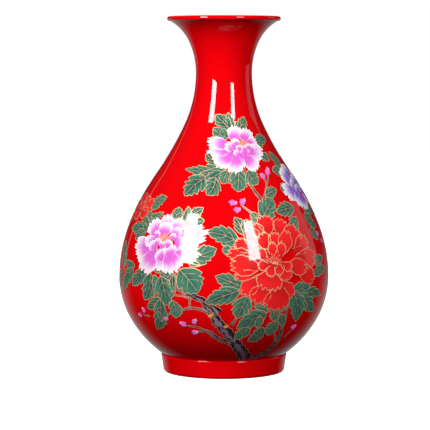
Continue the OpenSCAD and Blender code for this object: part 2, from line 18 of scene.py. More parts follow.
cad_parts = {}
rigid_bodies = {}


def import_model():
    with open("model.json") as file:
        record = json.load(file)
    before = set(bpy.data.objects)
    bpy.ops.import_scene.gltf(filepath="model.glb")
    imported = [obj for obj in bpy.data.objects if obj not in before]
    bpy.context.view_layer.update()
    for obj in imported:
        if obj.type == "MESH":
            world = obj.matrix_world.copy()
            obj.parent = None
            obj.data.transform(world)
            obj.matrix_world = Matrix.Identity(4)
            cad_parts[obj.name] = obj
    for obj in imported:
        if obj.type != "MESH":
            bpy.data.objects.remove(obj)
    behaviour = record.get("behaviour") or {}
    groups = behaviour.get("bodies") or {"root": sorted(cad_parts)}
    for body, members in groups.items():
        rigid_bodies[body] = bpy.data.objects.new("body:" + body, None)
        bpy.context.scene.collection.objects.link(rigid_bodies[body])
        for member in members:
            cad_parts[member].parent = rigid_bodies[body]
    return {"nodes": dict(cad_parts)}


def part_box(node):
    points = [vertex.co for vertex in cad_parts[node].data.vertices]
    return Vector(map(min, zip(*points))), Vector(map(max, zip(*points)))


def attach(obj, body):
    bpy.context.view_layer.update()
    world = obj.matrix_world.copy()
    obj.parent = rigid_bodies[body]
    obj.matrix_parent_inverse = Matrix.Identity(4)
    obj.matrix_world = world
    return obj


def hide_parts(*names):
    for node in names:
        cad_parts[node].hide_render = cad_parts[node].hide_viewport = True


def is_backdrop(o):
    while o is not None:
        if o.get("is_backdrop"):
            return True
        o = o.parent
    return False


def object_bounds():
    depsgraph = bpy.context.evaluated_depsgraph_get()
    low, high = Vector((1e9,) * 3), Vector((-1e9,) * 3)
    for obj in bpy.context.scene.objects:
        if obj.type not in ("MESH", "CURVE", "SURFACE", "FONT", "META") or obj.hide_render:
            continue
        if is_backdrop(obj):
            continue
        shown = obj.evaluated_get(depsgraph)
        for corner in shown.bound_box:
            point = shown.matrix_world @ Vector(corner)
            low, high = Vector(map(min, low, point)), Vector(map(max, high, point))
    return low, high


bl_info = {
    "name": "Cloisonne Vase",
    "version": (1, 0, 0),
    "blender": (4, 5, 0),
    "location": "View3D > Sidebar > Vase",
    "description": "Builds a red cloisonne vase with a peony branch",
    "category": "Object",
}

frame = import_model()
CAD_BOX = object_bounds()
MM = 0.001

# ---------------------------------------------------------------- drawing of the peony branch
# Leaves and petals are (base x, base y, tip x, tip y, width), strips are (x, y, width) points,
# buds are (x, y, radius, turn). All in millimetres, y up the vase from the table.
TOP_PETALS = [
    (4, 208, 5, 194, 14), (0, 214, 1, 229, 13), (8, 214, 14, 226, 13), (12, 212, 20, 218, 9), (8, 207, 26, 205, 15),
    (7, 203, 19, 192, 13), (0, 205, -4, 189, 17), (-3, 206, -18, 195, 14), (-2, 209, -23, 207, 11),
    (-3, 212, -22, 216, 12), (0, 209, -8, 213, 9), (0, 207, 0, 218, 9), (15, 205, 16, 213, 9),
    (5, 202, 3, 209, 12), (9, 203, 9, 210, 9)]
TOP_HEART = [(8, 213.5, 5, 0)]
TOP_FRILLS = [(4, 207, 4, 212.5, 6), (9, 206, 9, 212, 7), (13, 208, 13, 213.5, 6), (2, 212, 2, 217, 6)]
TOP_LEAVES = [
    (-1, 226, -3, 242, 8), (-2, 227, -14, 240, 12), (3, 225, 12, 238, 10), (-5, 219, -17, 228, 12),
    (-17, 196, -26, 205, 9), (20, 212, 33, 218, 10), (24, 204, 33, 198, 7), (-14, 192, -44, 191, 10),
    (-28, 185, -48, 168, 13), (-12, 191, -33, 188, 8), (-14, 189, -30, 182, 8), (-21, 184, -30, 169, 12),
    (-9, 190, -16, 179, 9), (1, 191, -3, 172, 15), (9, 190, 17, 178, 12), (23, 168, 35, 173, 9)]
TOP_TWIGS = [
    [(5, 196, 2), (6.5, 188, 1.5), (8, 180, 1.8), (12, 174, 2), (15, 169, 2.6), (19, 165, 3)],
    [(22, 167, 1.2), (25, 176, 1.2), (28, 182, 1.2), (29, 186, 1)], [(26, 178, 1), (24, 183, 1)]]
TOP_BUDS = [(29, 189, 3.2, 80), (23, 185, 2.8, 130)]

LEFT_PETALS = [
    (0, 122, -4, 103, 22), (-2, 134, 0, 150, 17), (-7, 132, -19, 144, 16), (8, 134, 14, 147, 14),
    (10, 130, 37, 139, 18), (10, 124, 34, 116, 20), (7, 120, 14, 102, 20), (-8, 120, -21, 101, 24),
    (-12, 122, -35, 121, 18), (-6, 126, -22, 129, 10), (-2, 131, -1, 144, 16), (9, 131, 14, 140, 10),
    (-7, 119, -14, 127, 10), (12, 126, 20, 126, 12), (2, 112, -4, 119, 14), (10, 114, 7, 124, 14)]
LEFT_HEART = [(0, 129, 7, 0)]
LEFT_FRILLS = [
    (-7, 123, -6, 130, 8), (-1, 121, 0, 127.5, 9), (5, 122, 6, 129, 8), (-9, 130, -8, 136, 7), (9, 129, 9, 135, 7)]
LEFT_LEAVES = [
    (7, 145, 7, 158, 11), (23, 145, 34, 147, 8), (19, 146, 30, 158, 10), (17, 145, 16, 159, 7),
    (28, 109, 38, 108, 5), (28, 111, 49, 123, 15), (-26, 155, -10, 166, 10), (-24, 147, -8, 153, 7),
    (-24, 140, -26, 154, 8), (-21, 136, -36, 148, 8), (-22, 137, -52, 136, 11), (-25, 134, -39, 127, 9),
    (-34, 103, -51, 107, 8), (-36, 101, -57, 78, 12), (-18, 99, -37, 86, 12), (-11, 99, -20, 74, 16),
    (-6, 98, -7, 79, 8), (0, 100, 18, 95, 12), (1, 97, 6, 71, 18), (14, 99, 16, 83, 6),
    (20, 104, 37, 84, 22), (0, 100, -6, 107, 6), (0, 100, 5, 108, 6), (0, 77, -18, 67, 9),
    (0, 76, -13, 47, 14), (-4, 65, -4, 55, 5), (13, 76, 13, 60, 12)]
LEFT_TWIGS = [
    [(14, 81, 1.2), (23, 80.5, 1.2), (31, 78, 1.2)], [(29.5, 80, 1.5), (28.5, 69, 1.5)],
    [(47, 62, 2.4), (40, 68, 2.2), (33, 70, 2), (26, 69.5, 2), (17, 66, 1.6)],
    [(10, 64, 1.2), (4, 62, 1.2), (-2, 61.5, 1)], [(-17, 59, 1.2), (-26, 59, 1)],
    [(42, 46.5, 2.4), (36, 49.5, 2), (31, 52, 1.6), (22, 53, 1)], [(38, 48.5, 1.4), (29, 47.5, 1)]]
LEFT_TRUNK = [
    [(15, 88.5, 2.4), (24, 84, 3.2), (32, 81, 4.5), (39, 78, 5.4), (44, 74.5, 6.2), (52, 66, 7)]]
LEFT_BUDS = [
    (-24, 64, 2.6, 120), (-31.5, 58.5, 2.6, 170), (2, 58.5, 2.5, 30), (18.5, 54.5, 3, 160),
    (30, 57.5, 2.6, 50), (27, 47, 2.6, 10)]

RED_PETALS = [
    (5, 134, 12, 146, 17), (-4, 134, -5, 150, 16), (-10, 132, -17, 143, 12), (-14, 126, -25, 138, 16),
    (-20, 121, -35, 129, 12), (-22, 117, -42, 120, 12), (14, 122, 28, 137, 22), (20, 118, 38, 127, 16),
    (18, 112, 46, 108, 18), (20, 104, 44, 94, 16), (4, 92, 17, 80, 14), (-16, 96, -34, 86, 15),
    (-12, 92, -19, 75, 20), (2, 90, 0, 68, 26), (-18, 102, -38, 98, 9), (-16, 107, -40, 107, 18),
    (-5, 122, -14, 133, 14), (0, 120, 1, 135, 14), (7, 116, 14, 136, 15), (10, 107, 33, 104, 15),
    (-6, 104, -10, 87, 26), (6, 104, 10, 94, 14), (-10, 112, -17, 122, 10), (4, 114, 8, 126, 9),
    (-4, 114, -3, 127, 9), (-8, 108, -18, 108, 9), (-4, 108, -9, 99, 9), (2, 108, 2, 99, 9),
    (7, 109, 14, 103, 9)]
RED_HEART = [(-3, 113, 7, 20)]
RIGHT_LEAVES = [
    (-32, 127, -56, 137, 15), (-26, 136, -22, 148, 8), (-28, 135, -32, 150, 10), (-12, 143, -17, 154, 9),
    (-8, 149, 8, 166, 16), (31, 156, 9, 153, 12), (31, 148, 20, 135, 11), (-39, 121, -47, 122, 8),
    (-32, 89, -54, 99, 13), (-35, 86, -61, 75, 14), (-29, 81, -35, 61, 15), (-5, 67, -22, 72, 8),
    (-9, 65, -33, 51, 15), (-14, 62, -15, 51, 7), (-21, 51, -31, 40, 10), (-8, 51, -19, 38, 11),
    (4, 56, -2, 43, 12), (0, 66, 13, 71, 8), (6, 63, 12, 51, 8), (-2, 68, 2, 57, 9),
    (24, 79, 58, 75, 10), (22, 78, 38, 66, 10), (18, 80, 50, 61, 14), (16, 84, 40, 90, 12),
    (16, 83, 26, 54, 16), (44, 96, 66, 99, 9), (44, 108, 62, 110, 9)]
RIGHT_TWIGS = [
    [(-35, 62, 1.6), (-38, 54, 2.6)], [(-54, 48, 2.4), (-46, 42, 3), (-40, 39, 3.4), (-31, 36, 4)],
    [(4, 46, 1.2), (10, 36, 2)], [(18, 39, 1), (24, 46, 1)],
    [(-24, 161, 1), (-19, 156, 1.6), (-14, 152, 2), (-9, 148, 2)]]
RIGHT_TRUNK = [
    [(-61, 75, 6.4), (-55, 66, 6), (-49.5, 57, 7), (-42, 50, 7.6), (-35, 43, 7.6), (-28, 35, 8),
     (-20, 28, 8.4), (-13, 21, 9), (-10, 17.5, 10)],
    [(-9, 19.5, 5), (-1, 21, 5), (5, 24, 4.6), (9, 30, 4.6), (12.5, 36, 5), (12.5, 42, 4), (11, 50, 3),
     (12, 58, 2.4), (12, 74, 2)]]
RIGHT_KNOTS = [(-42, 53, 1.9, 0), (-55.5, 63.5, 2.2, 60)]
RIGHT_BUDS = [(25.5, 48.5, 3, 30), (-30, 162.5, 3.2, 0), (-21.5, 163.5, 3, 40), (-28, 156.5, 3, 20)]

VIOLET_PETALS = [
    (10, 176, 24, 184, 16), (10, 168, 26, 160, 16), (0, 180, -2, 193, 16), (-5, 178, -16, 185, 13),
    (-6, 171, -25, 168, 16), (-4, 169, -15, 160, 11), (0, 168, -3, 154, 18), (4, 172, 3, 183, 13),
    (-3, 171, -7, 179, 10), (6, 168, 12, 174, 11), (0, 167, -1, 175, 11)]
SIDE_LEAVES = [
    (-4, 191, -12, 206, 10), (-9, 188, -23, 189, 9), (-15, 172, -28, 172, 9), (14, 188, 28, 198, 11),
    (16, 158, 28, 148, 11), (-12, 158, 10, 149, 12), (-14, 149, 4, 138, 12), (-14, 136, -2, 126, 9)]
SIDE_BUDS = [(0, 131, 3, 20), (8, 124, 3, 340)]
EDGE_PETALS = [
    (14, 155, 4, 164, 13), (12, 154, -8, 158, 13), (12, 152, -4, 147, 12), (18, 157, 23, 164, 12),
    (18, 155, 33, 159, 10), (18, 153, 31, 148, 10), (14, 152, 14, 144, 13), (14, 152, 16, 160, 11),
    (10, 152, 10, 158, 9)]
EDGE_LEAVES = [(-2, 160, -17, 170, 11), (-4, 150, -20, 141, 11), (18, 100, 7, 124, 11), (12, 96, -8, 82, 12)]


class Spot:
    """Where a cluster lies: the bearing of its middle, and whether it is the mirrored copy."""

    def __init__(self, bearing, turned=None, lift=0.0):
        self.bearing, self.turned, self.lift = bearing, turned, lift

    def azimuth(self, az):
        return az if self.turned is None else math.radians(self.turned) - az


TOP, LEFT, RIGHT = Spot(12), Spot(-36, lift=0.02), Spot(29)
SIDE, EDGE = Spot(70), Spot(-80)
BACK_TOP, BACK_RED = Spot(12, 180), Spot(29, 218)


# ---------------------------------------------------------------- sizes and colours
def length(name, default, about):
    return FloatProperty(
        name=name, description=about, default=default, unit="LENGTH", subtype="DISTANCE", precision=5)


def slope(name, default, about):
    return FloatProperty(
        name=name, description=about, default=math.radians(default), unit="ROTATION", subtype="ANGLE")


def colour(name, default, about):
    return FloatVectorProperty(
        name=name, description=about, default=default, subtype="COLOR", size=3, min=0, max=1)


def number(name, default, about):
    return FloatProperty(name=name, description=about, default=default)


FOOT_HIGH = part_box("foot_ring")[1]
ROUND_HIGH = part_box("ground_enamel")[1]
LIP_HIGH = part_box("lip_enamel")[1]


class VaseForm(bpy.types.PropertyGroup):
    height: length("Height", LIP_HIGH.z, "Overall height")
    mouth_d: length("Mouth", 2 * LIP_HIGH.x, "Diameter over the lip")
    neck_d: length("Neck", 0.052, "Narrowest diameter of the neck")
    shoulder_d: length("Shoulder", 0.124, "Diameter at the shoulder seam")
    belly_d: length("Belly", 2 * ROUND_HIGH.x, "Widest diameter")
    root_d: length("Root", 0.114, "Diameter where the body leaves the foot")
    foot_d: length("Foot", 0.113, "Diameter over the underside of the foot")
    foot_top_d: length("Foot top", 0.1176, "Diameter over the top of the foot")
    foot_h: length("Foot height", FOOT_HIGH.z, "Height of the foot")
    belly_rise: length("Belly rise", 0.073, "Height of the widest ring above the foot")
    shoulder_rise: length("Shoulder rise", 0.097, "Height of the shoulder above the widest ring")
    flare_rise: length("Flare", 0.052, "Height from the narrowest ring to the lip")
    root_slope: slope("Root slope", 35, "Slope of the wall where it leaves the foot")
    shoulder_slope: slope("Shoulder slope", 124.8, "Slope of the wall at the shoulder")
    mouth_slope: slope("Mouth slope", 28, "Slope of the wall where it meets the lip")
    ground_t: length("Red coat", 0.0008, "Thickness of the red enamel")
    copper_t: length("Copper", 0.0012, "Thickness of the copper shells")
    lining_t: length("Lining", 0.0006, "Thickness of the enamel inside")
    lip_r: length("Lip", 0.0021, "Radius of the rolled lip with its enamel")
    bare_rim: length("Bare rim", 0.0008, "Height of the bare metal under the foot")
    turns: IntProperty(name="Segments", description="Facets round the vase", default=192, min=48, max=512)


class VaseDrawing(bpy.types.PropertyGroup):
    wire_w: length("Wire", 0.0005, "Width of the gilt outlines")
    vein_w: length("Vein", 0.00034, "Width of the gilt veins")
    layer: length("Layer", 0.00001, "Step in height from one motif to the next")
    bark_lift: length("Bark height", 0.00012, "Height of the bark over the red enamel")
    leaf_lift: length("Leaf height", 0.0002, "Height of the first leaf")
    petal_lift: length("Petal height", 0.0005, "Height of the first petal")
    bury: length("Depth", 0.0002, "How far the motifs reach into the red enamel")
    grain: length("Facet", 0.0011, "Size of the facets that follow the wall")


class VaseColours(bpy.types.PropertyGroup):
    red: colour("Red", (0.50, 0.0003, 0.002), "Red enamel")
    crimson: colour("Crimson", (0.66, 0.012, 0.014), "Petals of the red peony")
    magenta: colour("Magenta", (0.46, 0.085, 0.40), "Heart of the pink petals")
    blush: colour("Blush", (0.56, 0.48, 0.54), "Rim of the pink petals")
    violet: colour("Violet", (0.20, 0.10, 0.46), "Heart of the violet petals")
    frost: colour("Frost", (0.55, 0.53, 0.66), "Rim of the violet petals")
    jade: colour("Jade", (0.038, 0.130, 0.085), "Leaf enamel at the rim")
    deep_jade: colour("Deep jade", (0.012, 0.042, 0.036), "Leaf enamel along the veins")
    gilt: colour("Gilt", (0.62, 0.40, 0.22), "Gilt wire")
    bark: colour("Bark", (0.014, 0.008, 0.011), "Dark bark")
    lilac_bark: colour("Lilac bark", (0.17, 0.11, 0.155), "Light along the bark")
    knot: colour("Knot", (0.55, 0.22, 0.06), "Knots on the trunk")
    bud: colour("Bud", (0.54, 0.12, 0.38), "Buds")
    salmon: colour("Salmon", (0.60, 0.20, 0.16), "Hearts of the pink peonies")
    turquoise: colour("Turquoise", (0.035, 0.26, 0.28), "Enamel inside and under the base")
    copper: colour("Copper", (0.62, 0.30, 0.18), "Copper shells")
    brass: colour("Brass", (0.70, 0.52, 0.25), "Lip wire and brazing")


class VaseStudio(bpy.types.PropertyGroup):
    camera_away: length("Camera distance", 1.787, "From the vase's axis to the camera")
    camera_side: length("Camera offset", -0.0083, "How far the camera stands to the left")
    camera_up: length("Camera height", 0.289, "Height of the camera")
    camera_dip: slope("Camera dip", 4.59, "How far the camera looks down")
    lens: number("Lens", 160.8, "Focal length of the camera in millimetres")
    key: number("Key", 33, "Brightness of the left softbox")
    fill: number("Fill", 33, "Brightness of the right softbox")
    veil: number("Veil", 0.6, "Brightness of the tall panel on the right")
    rim: number("Rim", 0.5, "Brightness of the strip behind on the left")
    bounce: number("Bounce", 0.45, "Brightness of the white table behind the vase")
    back: number("Back", 9, "Brightness of the lamp behind the vase")


def form():
    return bpy.context.scene.vase_form


def drawing():
    return bpy.context.scene.vase_drawing


def paint(name, shade=1):
    return tuple(shade * c for c in getattr(bpy.context.scene.vase_colours, name))


# ---------------------------------------------------------------- the wall's section
def arc(start, way, end):
    """An arc that leaves start along way and ends at end, as (start, end, centre)."""
    w = end - start
    left = np.array([-way[1], way[0]])
    radius = w @ w / (2 * (left @ w))
    return start, end, start + radius * left


class Wall:
    """The wall's outer surface: a chain of arcs, two from each station to the next."""

    STEPS = 48

    def __init__(self, f):
        lip_c = np.array([f.mouth_d / 2 - f.lip_r, f.height - f.lip_r])
        mid = f.ground_t + f.copper_t / 2
        a = f.mouth_slope
        mouth = lip_c + mid * np.array([math.sin(a), -math.cos(a)])
        up = math.pi / 2
        stations = [
            (f.root_d / 2, f.foot_h, f.root_slope),
            (f.belly_d / 2, f.foot_h + f.belly_rise, up),
            (f.shoulder_d / 2, f.foot_h + f.belly_rise + f.shoulder_rise, f.shoulder_slope),
            (f.neck_d / 2, f.height - f.flare_rise, up),
            (mouth[0], mouth[1], a)]
        points, out = [], []
        for p, q in zip(stations, stations[1:]):
            p0, q0 = np.array(p[:2]), np.array(q[:2])
            t0, t1 = (np.array([math.cos(s[2]), math.sin(s[2])]) for s in (p, q))
            v = q0 - p0
            qa, qb, qc = 2 * (1 - t0 @ t1), 2 * v @ (t0 + t1), -v @ v
            d = (-qb + math.sqrt(qb * qb - 4 * qa * qc)) / (2 * qa)
            j = (p0 + q0 + d * (t0 - t1)) / 2
            tail = arc(q0, -t1, j)
            for s, e, c in (arc(p0, t0, j), (j, q0, tail[2])):
                a0 = math.atan2(*(s - c)[::-1])
                a1 = math.atan2(*(e - c)[::-1])
                turn = (a1 - a0 + math.pi) % (2 * math.pi) - math.pi
                for k in range(self.STEPS):
                    b = a0 + turn * k / self.STEPS
                    r = np.linalg.norm(s - c)
                    points.append(c + r * np.array([math.cos(b), math.sin(b)]))
                    side = math.copysign(1, turn)
                    out.append(side * np.array([math.cos(b), math.sin(b)]))
        points.append(np.array(stations[-1][:2]))
        out.append(np.array([math.sin(a), -math.cos(a)]))
        self.points, self.out, self.lip_c = np.array(points), np.array(out), lip_c

    def at_depth(self, depth):
        """The section's points, moved in from the outer surface by depth."""
        return self.points - depth * self.out

    def lay(self, spot, x, y, lift):
        """Positions and outward directions of flat drawing points laid on the wall. Millimetres in."""
        x, y = np.asarray(x, float) * MM, np.asarray(y, float) * MM
        r = np.interp(y, self.points[:, 1], self.points[:, 0])
        nr = np.interp(y, self.points[:, 1], self.out[:, 0])
        nz = np.interp(y, self.points[:, 1], self.out[:, 1])
        az = math.radians(spot.bearing) + np.arcsin(np.clip(x / r, -0.999, 0.999))
        az = spot.azimuth(az)
        out = np.stack([nr * np.sin(az), -nr * np.cos(az), nz], -1)
        out /= np.linalg.norm(out, axis=-1, keepdims=True)
        base = np.stack([r * np.sin(az), -r * np.cos(az), y], -1)
        return base + (lift + spot.lift * MM) * out, out


# ---------------------------------------------------------------- materials
class Graph:
    """A node tree under construction."""

    def __init__(self, tree):
        self.tree = tree
        tree.nodes.clear()

    def node(self, kind, settings=(), values=()):
        """A node of this kind. Settings are set first, then its inputs, by name or number."""
        made = self.tree.nodes.new(kind)
        for key, value in dict(settings).items():
            setattr(made, key, value)
        for key, value in dict(values).items():
            self.feed(made.inputs[key], value)
        return made

    def feed(self, socket, value):
        if isinstance(value, Value):
            value = value.socket
        if isinstance(value, bpy.types.NodeSocket):
            self.tree.links.new(value, socket)
        elif socket.type == "RGBA" and len(value) == 3:
            socket.default_value = (*value, 1.0)
        else:
            socket.default_value = value

    def maths(self, kind, a, b=0.0):
        return self.node("ShaderNodeMath", {"operation": kind}, {0: a, 1: b}).outputs[0]


class Value:
    """A number from a shader node, with Python's arithmetic on it."""

    def __init__(self, finish, socket):
        self.finish, self.socket = finish, socket

    def __add__(self, other):
        return self.finish.maths("ADD", self, other)

    def __sub__(self, other):
        return self.finish.maths("SUBTRACT", self, other)

    def __rsub__(self, other):
        return self.finish.maths("SUBTRACT", other, self)

    def __mul__(self, other):
        return self.finish.maths("MULTIPLY", self, other)

    def __pow__(self, other):
        return self.finish.maths("POWER", self, other)

    __radd__, __rmul__ = __add__, __mul__


class Finish(Graph):
    """A procedural material, built node by node."""

    def __init__(self, name):
        self.material = bpy.data.materials.new(name)
        self.material.use_nodes = True
        super().__init__(self.material.node_tree)
        self.objects = None

    def maths(self, kind, a, b=0.0):
        return Value(self, super().maths(kind, a, b))

    def clamp(self, a):
        return Value(self, self.node("ShaderNodeClamp", {}, {0: a}).outputs[0])

    def sine(self, a):
        return self.maths("SINE", a)

    def size(self, a):
        return self.maths("ABSOLUTE", a)

    def top(self, a, b):
        return self.maths("MAXIMUM", a, b)

    def step(self, a, low, high):
        """0 under low, 1 over high, and smooth between."""
        kind = {"interpolation_type": "SMOOTHSTEP"}
        return Value(self, self.node("ShaderNodeMapRange", kind, {0: a, 1: low, 2: high}).outputs[0])

    def mix(self, amount, a, b):
        return self.node("ShaderNodeMix", {"data_type": "RGBA"}, {0: amount, 6: a, 7: b}).outputs[2]

    def place(self):
        if self.objects is None:
            self.objects = self.node("ShaderNodeTexCoord").outputs["Object"]
        return self.objects

    def far(self):
        """Distance from the object's origin."""
        made = self.node("ShaderNodeVectorMath", {"operation": "LENGTH"}, {0: self.place()})
        return Value(self, made.outputs["Value"])

    def noise(self, scale, detail=2.0, at=None, stretch=None, rough=0.5):
        at = self.place() if at is None else at
        if stretch:
            at = self.node("ShaderNodeMapping", {}, {"Vector": at, "Scale": stretch}).outputs[0]
        made = self.node("ShaderNodeTexNoise", {}, {
            "Vector": at, "Scale": scale, "Detail": detail, "Roughness": rough})
        return Value(self, made.outputs["Fac"])

    def across(self):
        """Position on the motif: across it (-1 to 1), along it (0 to 1), and both as one vector."""
        uv = self.node("ShaderNodeUVMap", {"uv_map": "UVMap"}).outputs[0]
        parts = self.node("ShaderNodeSeparateXYZ", {}, {0: uv})
        return Value(self, parts.outputs[0]), Value(self, parts.outputs[1]), uv

    def tone(self):
        """The motif's own random number."""
        made = self.node("ShaderNodeAttribute", {"attribute_name": "tone"})
        return Value(self, made.outputs["Fac"])

    def bump(self, height, strength, distance):
        made = self.node("ShaderNodeBump", {}, {"Strength": strength, "Distance": distance, "Height": height})
        return made.outputs[0]

    def glaze(self, base, rough, coat=0.55, normal=None, metal=0.0, specular=0.06, coat_rough=0.03, glow=None):
        """Ends the material in one glossy surface."""
        values = {
            "Base Color": base, "Roughness": rough, "Metallic": metal, "Coat Weight": coat,
            "Coat Roughness": coat_rough, "Specular IOR Level": specular}
        if normal is not None:
            values["Normal"] = normal
        if glow is not None:
            values.update({"Emission Color": glow, "Emission Strength": 1.0})
        shader = self.node("ShaderNodeBsdfPrincipled", {}, values)
        out = self.node("ShaderNodeOutputMaterial")
        self.tree.links.new(shader.outputs[0], out.inputs[0])
        return self.material


def red_glaze(name):
    f = Finish(name)
    cloud = f.noise(9, 3)
    specks = f.step(f.noise(420, 2, rough=0.6), 0.66, 0.80)
    base = f.mix(cloud * 0.35, paint("red"), paint("red", 0.72))
    base = f.mix(specks * 0.25, base, paint("red", 0.5))
    ripple = f.bump(f.noise(46, 1), 0.05, 0.0008)
    return f.glaze(base, rough=0.06 + 0.02 * f.noise(60, 2), normal=ripple, coat_rough=0.02)


def plain_glaze(name, key):
    f = Finish(name)
    cloud = f.noise(30, 4)
    pits = f.step(f.noise(380, 2), 0.62, 0.78)
    base = f.mix(cloud * 0.6, paint(key), paint(key, 0.7))
    base = f.mix(pits * 0.5, base, paint(key, 0.4))
    return f.glaze(base, rough=0.16 + 0.1 * cloud, normal=f.bump(pits, 0.15, 0.0003))


def petal_glaze(name, heart, rim):
    """Deep in the heart of a petal, pale and frilled at its rim, with fine rays along it."""
    f = Finish(name)
    u, v, uv = f.across()
    tone = f.tone()
    ray = f.noise(5.0, 2, at=uv, stretch=(3.2, 0.35, 1)) + tone * 0.1
    frill = f.noise(9.0, 2, at=uv, stretch=(1.6, 0.8, 1))
    reach = v + 0.16 * (f.size(u) ** 3) + 0.35 * (ray - 0.55) + 0.15 * (frill - 0.5)
    base = f.mix(f.step(reach, 0.44, 0.94), paint(heart), paint(rim))
    shade = f.clamp(1 - 3.2 * v) * 0.35
    base = f.mix(shade, base, paint(heart, 0.55))
    pale_edge = (0.66, 0.60, 0.60)
    base = f.mix(f.step(f.top(v, f.size(u) - 0.03), 0.91, 0.96), base, pale_edge)
    return f.glaze(base, rough=0.14 + 0.06 * ray, normal=f.bump(ray, 0.06, 0.0002))


def crimson_glaze():
    f = Finish("Crimson petals")
    _, v, uv = f.across()
    ray = f.noise(6.0, 2, at=uv, stretch=(3.0, 0.35, 1))
    base = f.mix(f.step(v, 0.1, 0.9) * 0.8, paint("crimson", 0.62), paint("crimson"))
    base = f.mix(ray * f.tone() * 0.25, base, (0.60, 0.03, 0.03))
    return f.glaze(base, rough=0.12 + 0.05 * ray, normal=f.bump(ray, 0.05, 0.0002))


def leaf_glaze():
    """Jade, darker along the midrib and between the side veins."""
    f = Finish("Jade leaves")
    u, v, _ = f.across()
    tone = f.tone()
    mottle = f.noise(260, 3)
    veins = f.sine((v - 0.35 * f.size(u)) * 38) * 0.5 + 0.5
    middle = 1 - f.step(f.size(u), 0.05, 0.75)
    dark = f.clamp(middle * 0.75 + veins * 0.30 - 0.22 + (mottle - 0.5) * 0.8 + (tone - 0.5) * 0.5)
    base = f.mix(dark, paint("jade"), paint("deep_jade"))
    base = f.mix(f.step(f.size(u), 0.78, 1.0) * 0.35, base, paint("jade", 1.5))
    return f.glaze(base, rough=0.16 + 0.1 * mottle, normal=f.bump(veins, 0.05, 0.0002))


def bark_glaze():
    """Dark, broken bark with a lilac light along its middle."""
    f = Finish("Bark")
    u, _, _ = f.across()
    flake = f.noise(330, 4, rough=0.65)
    coarse = f.noise(120, 2)
    light = 1 - f.step(f.size(u + 0.15) + (flake - 0.5) * 2.2 + (coarse - 0.5) * 1.6, 0.10, 0.60)
    base = f.mix(light, paint("bark"), paint("lilac_bark"))
    base = f.mix(f.step(coarse, 0.58, 0.72) * 0.5, base, (0.20, 0.09, 0.05))
    return f.glaze(base, rough=0.22 + 0.2 * flake, normal=f.bump(flake, 0.3, 0.0003))


def gilt_metal():
    f = Finish("Gilt wire")
    wear = f.noise(240, 3)
    base = f.mix(f.step(wear, 0.35, 0.75), paint("gilt"), paint("gilt", 0.62))
    return f.glaze(base, rough=0.32 + 0.15 * wear, coat=0.4, metal=0.35, specular=0.5)


def raw_metal(name, key, scratch):
    f = Finish(name)
    grain = f.noise(60, 4, stretch=(1, 1, scratch))
    stain = f.step(f.noise(22, 3), 0.45, 0.75)
    base = f.mix(stain * 0.6, paint(key), paint(key, 0.45))
    return f.glaze(base, rough=0.28 + 0.25 * grain, coat=0.0, metal=1.0, normal=f.bump(grain, 0.12, 0.0003))


def bud_glaze():
    f = Finish("Pink buds")
    u, v, _ = f.across()
    base = f.mix(f.step(v + 0.3 * f.size(u), 0.8, 1.5), paint("bud"), paint("blush"))
    return f.glaze(base, rough=0.15 + 0.08 * f.noise(300, 2))


# ---------------------------------------------------------------- geometry nodes
class Recipe(Graph):
    """A Geometry Nodes tree with one mesh in and one out."""

    def __init__(self, name):
        super().__init__(bpy.data.node_groups.new(name, "GeometryNodeTree"))
        for way in ("INPUT", "OUTPUT"):
            self.tree.interface.new_socket("Geometry", in_out=way, socket_type="NodeSocketGeometry")
        self.start, self.end = self.node("NodeGroupInput"), self.node("NodeGroupOutput")
        self.ids = {}

    def input(self, name, kind, default=None):
        socket = self.tree.interface.new_socket(name, in_out="INPUT", socket_type="NodeSocket" + kind)
        if default is not None:
            socket.default_value = default
        self.ids[name] = socket.identifier
        return self.start.outputs[name]

    def out(self, kind, settings=(), values=()):
        """What a node gives first."""
        return self.node(kind, settings, values).outputs[0]

    def carried(self, name, kind):
        """An attribute that the points carry."""
        return self.out("GeometryNodeInputNamedAttribute", {"data_type": kind}, {"Name": name})

    def finish(self, geometry, material):
        real = self.out("GeometryNodeRealizeInstances", {}, {0: geometry})
        done = self.out("GeometryNodeSetMaterial", {}, {"Geometry": real, "Material": material})
        self.feed(self.end.inputs[0], done)
        return self


def turned_recipe():
    """Turns a section, given as a row of points in X and Z, about the vertical axis."""
    r = Recipe("Turned coat")
    section = r.start.outputs[0]
    turns = r.input("Segments", "Int")
    material = r.input("Material", "Material")
    count = r.node("GeometryNodeAttributeDomainSize", {"component": "MESH"}, {0: section}).outputs["Point Count"]
    rings = r.maths("ADD", turns, 1)
    grid = r.out("GeometryNodeMeshGrid", {}, {"Vertices X": rings, "Vertices Y": count})
    index = r.out("GeometryNodeInputIndex")
    step = r.maths("FLOORED_MODULO", index, count)
    ring = r.maths("FLOOR", r.maths("DIVIDE", index, count))
    angle = r.maths("MULTIPLY", r.maths("DIVIDE", ring, turns), 2 * math.pi)
    spot = r.out("GeometryNodeInputPosition")
    sampled = r.out("GeometryNodeSampleIndex", {"data_type": "FLOAT_VECTOR"}, {
        "Geometry": section, "Value": spot, "Index": step})
    part = r.node("ShaderNodeSeparateXYZ", {}, {0: sampled})
    x = r.maths("MULTIPLY", part.outputs[0], r.maths("COSINE", angle))
    y = r.maths("MULTIPLY", part.outputs[0], r.maths("SINE", angle))
    place = r.out("ShaderNodeCombineXYZ", {}, {0: x, 1: y, 2: part.outputs[2]})
    moved = r.out("GeometryNodeSetPosition", {}, {"Geometry": grid, "Position": place})
    closed = r.out("GeometryNodeMergeByDistance", {}, {"Geometry": moved, "Distance": 1e-6})
    smooth = r.out("GeometryNodeSetShadeSmooth", {}, {"Geometry": closed, "Shade Smooth": True})
    return r.finish(smooth, material)


